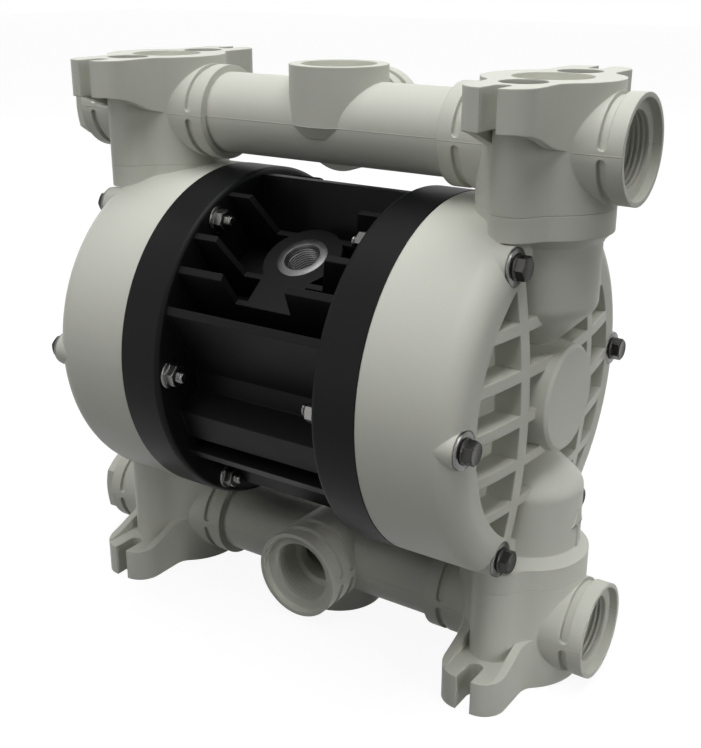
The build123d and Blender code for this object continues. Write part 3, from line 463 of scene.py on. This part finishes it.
def around(centre, direction, radius, height, turn=0.0):
    """Points at centre + height * w + radius * (cos a * u + sin a * v), for arrays (rows, columns)
    of radius and height, with the angle a running once round over the columns."""
    u, v, w = frame_on(direction)
    radius, height = np.broadcast_arrays(radius, height)
    angle = turn + np.linspace(0, 2 * np.pi, radius.shape[1], endpoint=False)
    ring = np.cos(angle)[:, None] * u + np.sin(angle)[:, None] * v
    return np.array(centre, float) + height[..., None] * w + radius[..., None] * ring[None]


def turned(centre, direction, profile):
    """A profile of (radius, height) pairs carried once round an axis; it is closed where it starts and
    ends on the axis or meets itself."""
    r, h = np.array(profile, float).T
    return around(centre, direction, np.repeat(r[:, None], TURNED_COLUMNS, 1), h[:, None])


def hexagon_radius(width):
    """Distance from the middle to a hexagon's outline for each of the fine columns."""
    angle = np.linspace(0, 2 * np.pi, FINE_COLUMNS, endpoint=False)
    return width / 2 / np.cos((angle + np.pi / 6) % (np.pi / 3) - np.pi / 6)


def hex_body(centre, direction, width, low, high, bore=0.0, turn=0.0):
    """A hexagon whose high corners are cut by a 30 degree cone: each side's edge is at the height where
    the cone's radius equals the hexagon's, which gives the curved chamfers of a real head. The top is
    dished unless it has a bore."""
    outline = hexagon_radius(width)
    cut = 0.94 * width / 2
    drop = (outline - cut) * math.tan(math.radians(30))
    dish = 0.0 if bore else 0.02 * width
    rows = [(bore, low), (outline, low), (outline, high - drop), (cut, high), (0.9 * cut, high - dish),
            (bore, high - dish)]
    if bore:
        rows.append(rows[0])
    r, h = (np.stack([row[k] * np.ones(FINE_COLUMNS) for row in rows]) for k in (0, 1))
    return around(centre, direction, r, h, turn)


def thread_rows(low, high, pitch, crest, root, columns):
    """Radius and height of a thread as rows and columns. Along the height the radius is a rounded
    triangle wave between root and crest, and the wave's phase goes once round with the angle, so the
    ridge is one helix. It fades to the root over one pitch at each end."""
    rows = max(8, int(round((high - low) / pitch * 8)))
    h = np.linspace(low, high, rows + 1)[:, None]
    phase = h / pitch - np.arange(columns)[None] / columns
    wave = np.abs(2 * (phase - np.floor(phase)) - 1)
    wave = np.clip(1.35 * wave - 0.12, 0, 1)
    fade = np.clip(np.minimum(h - low, high - h) / pitch, 0, 1)
    return root + (crest - root) * wave * fade, np.repeat(h, columns, 1)


def threaded_rod(centre, direction, low, high, length, radius, pitch, depth):
    """A rod with a chamfered free end at its low side, a thread of a given length and a plain shank."""
    r, h = thread_rows(low, low + length, pitch, radius, radius - depth, ROD_COLUMNS)
    start = np.array([[0.0, low], [radius - 1.6 * depth, low]])
    shank = np.array([[radius, low + length + pitch], [radius, high], [0.0, high]])
    spread = np.ones(ROD_COLUMNS)
    return around(centre, direction, np.vstack([start[:, :1] * spread, r[1:], shank[:, :1] * spread]),
                  np.vstack([start[:, 1:] * spread, h[1:], shank[:, 1:] * spread]))


def threaded_sleeve(centre, direction, thread, profile):
    """A closed sleeve whose inside is a thread, given as the arguments of thread_rows, and whose other
    sides are a profile of (radius, height) pairs from the thread's high end back to its low end."""
    r, h = thread_rows(*thread, FINE_COLUMNS)
    wall = np.array(profile, float)[:, :, None] * np.ones(FINE_COLUMNS)
    return around(centre, direction, np.vstack([r, wall[:, 0], r[:1]]), np.vstack([h, wall[:, 1], h[:1]]))[::-1]


def settle(piece, body, slot, *nodes):
    """Hangs a finished piece on the body it rides on and hides the solids it stands for; the slot is not used."""
    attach(piece, body)
    if nodes:
        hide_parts(*nodes)


def bolt_centres():
    """(y, z) of the six cover bolts."""
    circle = bpy.context.scene.pump_sizes.bolt_circle
    angle = np.radians(60 * (np.arange(6) + 0.5))
    return np.stack([circle * np.sin(angle), AXIS_HEIGHT + circle * np.cos(angle)], 1)


def sides():
    """Name and direction of the right-hand and the left-hand side."""
    return (("right", 1.0), ("left", -1.0))


# Operators

class PUMP_OT_mouldings(bpy.types.Operator):
    """Give every solid of the pump its moulded, machined or rubber finish"""
    bl_idname = "pump.mouldings"
    bl_label = "Finish the mouldings"

    def execute(self, context):
        colours = context.scene.pump_colours
        white = colours.white_plastic
        finishes = {
            "white_plastic": plastic("white_moulding", white, 0.50, 0.9 * MM),
            "black_plastic": plastic("black_moulding", colours.black_plastic, 0.45, 0.8 * MM,
                                     drift=0.3, pebble=0.05 * MM, shine=0.10),
            # The stainless finish takes the darkened washer colour, a painted dark reflection.
            "stainless": metal("stainless_steel_dark_reflection", colours.washer_steel_dark_reflection, 0.24, 0.2 * MM),
            "zinc_steel": metal("insert_steel", colours.insert_steel, 0.42, 0.3 * MM),
            "bronze": metal("bush_bronze", colours.bush_bronze, 0.4, 0.2 * MM),
            "spool_plastic": plastic("spool_moulding", colours.spool_plastic, 0.4, 0.3 * MM),
            "seal_rubber": rubber("seal_rubber", colours.seal_rubber, 0.6),
            "diaphragm_rubber": rubber("diaphragm_rubber", colours.diaphragm_rubber, 0.65),
            "ball_rubber": rubber("ball_rubber", colours.ball_rubber, 0.55),
        }
        for level, height in (("lower", LOWER_PIPE_HEIGHT), ("upper", UPPER_PIPE_HEIGHT)):
            finishes[f"{level}_manifold"] = plastic(
                f"{level}_manifold_moulding", white, 0.52, 0.9 * MM, line_height=height)
        # The bolt heads' material is nearly black, a painted dark reflection.
        metal("bolt_steel_dark_reflection", colours.bolt_steel_dark_reflection, 0.30, 0.3 * MM)
        slots = {s["node"]: s["material_slot"] for s in frame["record"]["subparts"]}
        for name, obj in frame["nodes"].items():
            finish = finishes.get(name) or finishes[slots[name]]     # its own, or that of its slot
            for index in range(len(obj.data.materials)):
                obj.data.materials[index] = finish
            if not obj.data.materials:
                obj.data.materials.append(finish)
        return {"FINISHED"}


class PUMP_OT_cover_bolts(bpy.types.Operator):
    """Build the cover bolts: flanged hexagon heads made nearly black by a painted dark reflection, and brighter
    threaded ends
    """
    bl_idname = "pump.cover_bolts"
    bl_label = "Build the cover bolts"

    def execute(self, context):
        sizes = context.scene.pump_sizes
        steel = bpy.data.materials["bolt_steel_dark_reflection"]
        foot, brim, waist = WASHER_TOP, sizes.head_flange, 0.52 * sizes.hex_width
        flange = [(0, foot), (brim - 0.2 * MM, foot), (brim, foot + 0.25 * MM), (brim, foot + 0.6 * MM),
                  (brim - 0.4 * MM, foot + 1.0 * MM), (waist, foot + 1.3 * MM), (0, foot + 1.3 * MM)]
        tip, shank_end = BOLT_TIP - sizes.bolt_reach, foot + 0.1 * MM
        first, step = 0.2, 0.7     # radians by which the heads are turned
        for side, sign in sides():
            grids = []
            for index, (y, z) in enumerate(bolt_centres()):
                centre, out = (0.0, y, z), (sign, 0, 0)
                grids.append(turned(centre, out, flange))
                grids.append(hex_body(centre, out, sizes.hex_width, foot + MM, HEAD_TOP, turn=first + step * index))
                grids.append(threaded_rod(centre, out, tip, shank_end, sizes.bolt_thread, sizes.bolt_radius,
                                          sizes.bolt_pitch, sizes.bolt_depth))
            piece = mesh_object(f"bolt_set_{side}", grids, steel)
            piece.data.materials.append(bpy.data.materials["stainless_steel_dark_reflection"])
            middles = np.empty(3 * len(piece.data.polygons), np.float32)
            piece.data.polygons.foreach_get("center", middles)
            # The heads take the nearly black material and the threaded ends the lighter one. These are shaded and lit
            # copies of one steel, with the painted dark reflection on the heads.
            piece.data.polygons.foreach_set("material_index", (sign * middles[::3] < foot).astype(np.int32))
            settle(piece, "pump_body", "stainless", f"cover_bolts_{side}")
        return {"FINISHED"}


class PUMP_OT_cover_nuts(bpy.types.Operator):
    """Build the flanged nuts behind the clamping rings"""
    bl_idname = "pump.cover_nuts"
    bl_label = "Build the cover nuts"

    def execute(self, context):
        sizes = context.scene.pump_sizes
        steel = bpy.data.materials["stainless_steel_dark_reflection"]
        back, brim, waist = RING_BACK, sizes.nut_flange, 0.52 * sizes.hex_width
        bore = sizes.bolt_radius + 0.05 * MM
        flange = [(bore, back), (bore, back - 1.4 * MM), (waist, back - 1.4 * MM), (brim - 0.6 * MM, back - 0.9 * MM),
                  (brim, back - 0.55 * MM), (brim, back - 0.2 * MM), (brim - 0.2 * MM, back), (bore, back)]
        first, step = 0.3, 0.5     # radians by which the nuts are turned
        for side, sign in sides():
            grids = []
            for index, (y, z) in enumerate(bolt_centres()):
                centre = (0.0, y, z)
                grids.append(turned(centre, (sign, 0, 0), flange))
                grids.append(hex_body(centre, (-sign, 0, 0), sizes.hex_width, MM - back, -NUT_FRONT, bore,
                                      first + step * index))
            piece = mesh_object(f"nut_set_{side}", grids, steel)
            settle(piece, "pump_body", "stainless", f"cover_nuts_{side}")
        return {"FINISHED"}


class PUMP_OT_cover_washers(bpy.types.Operator):
    """Build the washers under the bolt heads, with rounded rims"""
    bl_idname = "pump.cover_washers"
    bl_label = "Build the cover washers"

    def execute(self, context):
        sizes = context.scene.pump_sizes
        steel = bpy.data.materials["stainless_steel_dark_reflection"]
        low, high, outer, bore = BOLT_SEAT, WASHER_TOP, sizes.washer_radius, sizes.washer_bore
        soft = 0.35 * MM
        rim = [(bore, low), (outer - soft, low), (outer, low + soft), (outer, high - soft),
               (outer - 0.1 * MM, high - 0.12 * MM), (outer - soft, high), (bore, high), (bore, low)]
        for side, sign in sides():
            grids = [turned((0, y, z), (sign, 0, 0), rim) for y, z in bolt_centres()]
            piece = mesh_object(f"washer_set_{side}", grids, steel)
            settle(piece, "pump_body", "stainless", f"cover_washers_{side}")
        return {"FINISHED"}


class PUMP_OT_port_threads(bpy.types.Operator):
    """Line the four open ports with a thin sleeve whose inside is a shallow thread"""
    bl_idname = "pump.port_threads"
    bl_label = "Line the ports with threads"

    def execute(self, context):
        sizes = context.scene.pump_sizes
        outer, wall = sizes.port_thread_radius - 0.02 * MM, 0.08 * MM
        root = outer - wall
        low, high = 0.1 * MM - sizes.port_sink - sizes.port_thread_length, -0.3 * MM - sizes.port_sink
        thread = (low, high, sizes.port_pitch, root - sizes.port_thread_depth, root)
        side = sizes.side_port
        ports = [((END_FACE, 0, LOWER_PIPE_HEIGHT), (1, 0, 0)), ((END_FACE, 0, UPPER_PIPE_HEIGHT), (1, 0, 0)),
                 ((0, -side, LOWER_PIPE_HEIGHT), (0, -1, 0)), ((0, side, UPPER_PIPE_HEIGHT), (0, 1, 0))]
        grids = [threaded_sleeve(centre, out, thread, [(outer, high), (outer, low)]) for centre, out in ports]
        piece = mesh_object("port_threads", grids, bpy.data.materials["white_moulding"], 50)
        settle(piece, "pump_body", "white_plastic")
        return {"FINISHED"}


class PUMP_OT_air_inserts(bpy.types.Operator):
    """Build the metal inserts of the air inlet and the exhaust, with chamfered pipe threads"""
    bl_idname = "pump.air_inserts"
    bl_label = "Build the air inserts"

    def execute(self, context):
        sizes = context.scene.pump_sizes
        steel = bpy.data.materials["insert_steel"]
        tilt = math.radians(60)    # of the ports' axes, up from the level
        low, high = sizes.air_face - sizes.air_depth, sizes.air_face
        lip, chamfer = 1.6 * MM, 0.4 * MM
        # node, which side it faces, outer radius, radius at the thread's root and pitch
        for name, sign, outer, bore, pitch in (("air_inlet_insert", -1, 13.15 * MM, 8.33 * MM, 1.337 * MM),
                                               ("exhaust_insert", 1, 15.15 * MM, 10.48 * MM, 1.814 * MM)):
            ridge = bore - 0.5 * pitch
            thread = (low + 0.3 * MM, high - lip, pitch, ridge, bore - 0.05 * MM)
            shell = [(bore + 0.9 * MM, high), (outer - 0.5 * MM, high), (outer, high - chamfer), (outer, low),
                     (ridge, low)]
            out = (0, sign * math.cos(tilt), math.sin(tilt))
            grid = threaded_sleeve((0, 0, AXIS_HEIGHT), out, thread, shell)
            piece = mesh_object(f"{name}_turned", [grid], steel, 40)
            settle(piece, "pump_body", "zinc_steel", name)
        return {"FINISHED"}


class PUMP_OT_port_plugs(bpy.types.Operator):
    """Build the plugs of the left-hand ports: hexagon heads and threaded shanks"""
    bl_idname = "pump.port_plugs"
    bl_label = "Build the port plugs"

    def execute(self, context):
        sizes = context.scene.pump_sizes
        moulding = bpy.data.materials["white_moulding"]
        crest, root = sizes.port_thread_radius - 0.1 * MM, sizes.port_thread_radius - 0.9 * MM
        zeros = np.zeros((1, FINE_COLUMNS))
        for level, height in (("lower", LOWER_PIPE_HEIGHT), ("upper", UPPER_PIPE_HEIGHT)):
            outer_end, inner_end = (-corner.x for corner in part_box(f"{level}_port_plug"))
            root_end = END_FACE + 0.5 * MM     # a little inside the head
            centre, out = (0, 0, height), (-1, 0, 0)
            head = hex_body(centre, out, sizes.plug_width, END_FACE, outer_end)
            r, h = thread_rows(inner_end, root_end, sizes.port_pitch, crest, root, FINE_COLUMNS)
            shank = around(centre, out, np.vstack([zeros, r, zeros]),
                           np.vstack([zeros + inner_end, h, zeros + root_end]))
            piece = mesh_object(f"{level}_plug_head", [head, shank], moulding, 30)
            settle(piece, "pump_body", "white_plastic", f"{level}_port_plug")
        return {"FINISHED"}


class PUMP_OT_diaphragms(bpy.types.Operator):
    """Build the diaphragms in sectors, each a fixed wedge of the rest shape between the shaft's hole and the clamped
    rim
    """
    bl_idname = "pump.diaphragms"
    bl_label = "Build the diaphragms"

    def execute(self, context):
        skin = bpy.data.materials["diaphragm_rubber"]
        step = 2 * math.pi / SECTORS
        for side, sign in sides():
            for index in range(SECTORS):
                grid = self.sector(sign, index * step, (index + 1) * step)
                piece = mesh_object(f"diaphragm_{side}_sector_{index + 1:02d}", [grid], skin)
                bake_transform(piece)
                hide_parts(f"diaphragm_{side}")
        return {"FINISHED"}

    def sector(self, sign, start, end):
        """A wedge turned about the shaft's axis. Its section lies between a low and a high line over the
        radius: a flat middle, a web that rises as an arc of a circle from the flat to the root, and a bead at
        the rim. Each end closes on the line halfway between the two."""
        chord = (ROOT_RADIUS - FLAT_RADIUS) / 2
        bend = (chord ** 2 + WEB_RISE ** 2) / (2 * WEB_RISE)
        reach = np.linspace(FLAT_RADIUS, ROOT_RADIUS, WEB_STEPS)
        arc = np.sqrt(bend ** 2 - (reach - FLAT_RADIUS - chord) ** 2) - bend + WEB_RISE
        inner = [HOLE_RADIUS, FLAT_RADIUS]
        low_r = np.concatenate([inner, reach, [ROOT_RADIUS, RIM_RADIUS]])
        low_h = np.concatenate([[-FLAT_HALF] * 2, arc - WEB_HALF, [-BEAD_HALF] * 2])
        high_r = np.concatenate([inner, reach, [BEAD_RADIUS, RIM_RADIUS]])
        high_h = np.concatenate([[FLAT_HALF] * 2, arc + WEB_HALF, [BEAD_HALF] * 2])
        r = np.concatenate([low_r, high_r[::-1]])
        h = CLAMP_FACE + np.concatenate([low_h, high_h[::-1]])
        turns = np.linspace(start, end, SECTOR_STEPS)
        turns = np.concatenate([turns[:1], turns, turns[-1:]])[:, None]
        r, h = (np.vstack([(line + line[::-1]) / 2, np.tile(line, (SECTOR_STEPS, 1)), (line + line[::-1]) / 2])
                for line in (r, h))
        grid = np.stack([sign * h, r * np.sin(turns), AXIS_HEIGHT + r * np.cos(turns)], -1)
        return grid if sign > 0 else grid[::-1]


class PUMP_OT_flow_arrows(bpy.types.Operator):
    """Raise a flow arrow on the lower neck of each cover"""
    bl_idname = "pump.flow_arrows"
    bl_label = "Raise the flow arrows"

    def execute(self, context):
        sizes = context.scene.pump_sizes
        moulding = bpy.data.materials["white_moulding"]
        for side, sign in sides():
            piece = mesh_object(f"flow_arrow_{side}", [self.arrow(sizes, sign)], moulding, 40)
            settle(piece, "pump_body", "white_plastic")
        return {"FINISHED"}

    def arrow(self, sizes, sign):
        """One bar bent round the neck, with the outline of a stem and a head. It is worked out as points of
        (across, up, out), four corners at each height, where across is an angle times the neck's radius."""
        tip, head, stem = 20 * MM, 8.5 * MM, 1.3 * MM      # whole height, height of the head, half the stem's width
        widest, point = 6.8 * MM, 0.15 * MM                # half widths of the head at its foot and at its tip
        sunk, top_share = -0.4 * MM, 0.86                  # how deep the bar starts, how wide its top is
        neck, steps = tip - head, 8
        ups = np.concatenate([np.linspace(0.0, neck, steps), np.linspace(neck, tip, steps)])
        halves = np.concatenate([np.full(steps, stem), np.linspace(widest, point, steps)])
        shares = np.array([-1.0, 1.0, top_share, -top_share])
        outs = np.array([sunk, sunk, sizes.arrow_lift, sizes.arrow_lift])
        rows = np.stack([halves[:, None] * shares, np.repeat(ups[:, None], 4, 1), np.tile(outs, (len(ups), 1))], -1)
        centre = rows.mean(1, keepdims=True).repeat(4, 1)
        across, up, out = np.moveaxis(np.concatenate([centre[:1], rows, centre[-1:]]), -1, 0)
        angle = sizes.arrow_angle + across / sizes.neck_radius
        reach = sizes.neck_radius + out
        x = sign * (sizes.elbow_x + reach * np.cos(angle))
        y = sign * reach * np.sin(angle)
        return np.stack([x, y, sizes.arrow_height + up], -1)[::-1]


class PUMP_OT_stage(bpy.types.Operator):
    """Set the floor, the room light, the lamps and the camera"""
    bl_idname = "pump.stage"
    bl_label = "Set the stage"

    def execute(self, context):
        studio = context.scene.pump_studio
        context.scene.view_settings.view_transform = "Standard"
        self.floor(studio)
        self.room(studio)
        # name, place, size, power; then the point aimed at and the beam's angle where they are not the usual ones
        self.lamp("top_lamp", (0.15, -0.1, 2.0), 1.5, studio.key_power)
        self.lamp("front_lamp", (0.0, -1.1, 1.8), 1.0, studio.front_power)
        self.lamp("left_lamp", (-0.9, -1.9, 0.4), 0.6, studio.left_power)
        self.lamp("left_high_lamp", (-0.8, -1.6, 1.3), 0.8, studio.left_power)
        self.flag()
        self.lamp("side_lamp", (1.9, -0.3, 0.9), 1.0, studio.side_power)
        self.lamp("low_lamp", (1.1, -0.25, 0.15), 0.2, studio.low_power, (0.15, 0.0, 0.04), 16)
        self.lamp("back_lamp", (0.3, 1.9, 1.1), 1.2, studio.back_power)
        self.lamp("back_left_lamp", (-1.9, 0.5, 0.8), 1.0, 0.5 * studio.back_power)
        self.camera()
        return {"FINISHED"}

    def sight(self, tree):
        """1 for rays from the camera and for mirror and glass rays, which see the white backdrop."""
        path = joined(tree, "ShaderNodeLightPath").outputs
        seen = worked(tree, "MAXIMUM", path["Is Camera Ray"], path["Is Glossy Ray"])
        return worked(tree, "MAXIMUM", seen, path["Is Transmission Ray"])

    def plate(self, name, corners, *finishes):
        """A flat piece for the stage, with a finish or bare."""
        mesh = bpy.data.meshes.new(name)
        mesh.from_pydata(corners, [], [(0, 1, 2, 3)])
        for finish in finishes:
            mesh.materials.append(finish)
        made = bpy.data.objects.new(name, mesh)
        bpy.context.scene.collection.objects.link(made)
        return made

    def floor(self, studio):
        """A plain floor that the camera sees as white paper and that keeps the shadow of the pump."""
        made, tree, skin = blank_material("studio_floor")
        skin.inputs["Base Color"].default_value = (*studio.floor_shade, 1)
        skin.inputs["Roughness"].default_value = 0.8
        skin.inputs["Specular IOR Level"].default_value = 0.1
        skin.inputs["Emission Color"].default_value = (1, 1, 1, 1)
        glow = worked(tree, "MULTIPLY", self.sight(tree), studio.floor_glow)
        tree.links.new(glow, skin.inputs["Emission Strength"])
        half = 6.0
        plane = self.plate("floor", [(-half, -half, 0), (half, -half, 0), (half, half, 0), (-half, half, 0)], made)

    def room(self, studio):
        """White to the camera and in reflections, and a weak even light on everything else."""
        world = bpy.data.worlds.new("studio_room")
        bpy.context.scene.world = world
        world.use_nodes = True
        tree = world.node_tree
        ground = tree.nodes["Background"]
        ground.inputs["Color"].default_value = (1, 1, 1, 1)
        level = joined(tree, "ShaderNodeMix", {"Factor": self.sight(tree), "A": studio.room_light, "B": 1.0},
                       data_type="FLOAT")
        tree.links.new(level.outputs["Result"], ground.inputs["Strength"])

    def lamp(self, name, place, size, power, target=(0, 0, AXIS_HEIGHT), beam=180):
        """A square area lamp aimed at a point, with its beam's angle in degrees."""
        data = bpy.data.lights.new(name, "AREA")
        data.shape = "RECTANGLE"
        data.size = data.size_y = size
        data.energy = power
        data.spread = math.radians(beam)
        made = bpy.data.objects.new(name, data)
        aim = Vector(target) - Vector(place)
        made.matrix_world = Matrix.Translation(place) @ aim.to_track_quat("-Z", "Y").to_matrix().to_4x4()
        bpy.context.scene.collection.objects.link(made)

    def flag(self):
        """A card that only throws a shadow: it keeps the left-hand front lamp off the lower pipe and the
        middle port."""
        left, right, y, low, high = -0.13, 0.045, -0.17, 0.02, 0.10
        card = self.plate("flag", [(left, y, low), (right, y, low), (right, y, high), (left, y, high)])
        card.visible_camera = card.visible_diffuse = card.visible_glossy = card.visible_transmission = False

    def camera(self):
        """The photo's camera as it was fitted: where it stands, how far it is turned to the left, down and
        about its own line of sight, and its lens."""
        place = (0.3185, -0.4620, 0.33596)
        yaw, pitch, roll = math.radians(33.99), math.radians(20.14), math.radians(0.117)
        lens, film_width = 54.09, 36.0      # mm
        ahead = Vector((-math.sin(yaw) * math.cos(pitch), math.cos(yaw) * math.cos(pitch), -math.sin(pitch)))
        right = Vector((math.cos(yaw), math.sin(yaw), 0))
        up = right.cross(ahead)
        across = math.cos(roll) * right + math.sin(roll) * up
        above = math.cos(roll) * up - math.sin(roll) * right
        data = bpy.data.cameras.new("photo_camera")
        data.lens = lens
        data.sensor_width = film_width
        made = bpy.data.objects.new("photo_camera", data)
        made.matrix_world = Matrix.Translation(place) @ Matrix((across, above, -ahead)).transposed().to_4x4()
        bpy.context.scene.collection.objects.link(made)
        bpy.context.scene.camera = made


class PUMP_PT_panel(bpy.types.Panel):
    """Sizes, colours and steps of the pump's finish"""
    bl_idname = "PUMP_PT_panel"
    bl_label = "Diaphragm pump"
    bl_space_type = "VIEW_3D"
    bl_region_type = "UI"
    bl_category = "Pump"

    def draw(self, context):
        for settings in (context.scene.pump_sizes, context.scene.pump_colours, context.scene.pump_studio):
            column = self.layout.column(align=True)
            for name in settings.bl_rna.properties.keys():
                if name not in ("rna_type", "name"):
                    column.prop(settings, name)
        for step in STEPS:
            self.layout.operator(step.bl_idname)


GROUPS = (PumpSizes, PumpColours, PumpStudio)
STEPS = (PUMP_OT_mouldings, PUMP_OT_cover_bolts, PUMP_OT_cover_nuts, PUMP_OT_cover_washers, PUMP_OT_port_threads,
         PUMP_OT_air_inserts, PUMP_OT_port_plugs, PUMP_OT_diaphragms, PUMP_OT_flow_arrows, PUMP_OT_stage)


def register():
    """Adds the settings, the steps and the panel."""
    for group in GROUPS + STEPS + (PUMP_PT_panel,):
        bpy.utils.register_class(group)
    bpy.types.Scene.pump_sizes = bpy.props.PointerProperty(type=PumpSizes)
    bpy.types.Scene.pump_colours = bpy.props.PointerProperty(type=PumpColours)
    bpy.types.Scene.pump_studio = bpy.props.PointerProperty(type=PumpStudio)


def unregister():
    """Takes away what register added."""
    del bpy.types.Scene.pump_studio
    del bpy.types.Scene.pump_colours
    del bpy.types.Scene.pump_sizes
    for group in reversed(GROUPS + STEPS + (PUMP_PT_panel,)):
        bpy.utils.unregister_class(group)


def main():
    """Builds everything."""
    register()
    bpy.ops.pump.mouldings()
    bpy.ops.pump.cover_bolts()
    bpy.ops.pump.cover_nuts()
    bpy.ops.pump.cover_washers()
    bpy.ops.pump.port_threads()
    bpy.ops.pump.air_inserts()
    bpy.ops.pump.port_plugs()
    bpy.ops.pump.diaphragms()
    bpy.ops.pump.flow_arrows()
    bpy.ops.pump.stage()


if __name__ == "__main__":
    main()
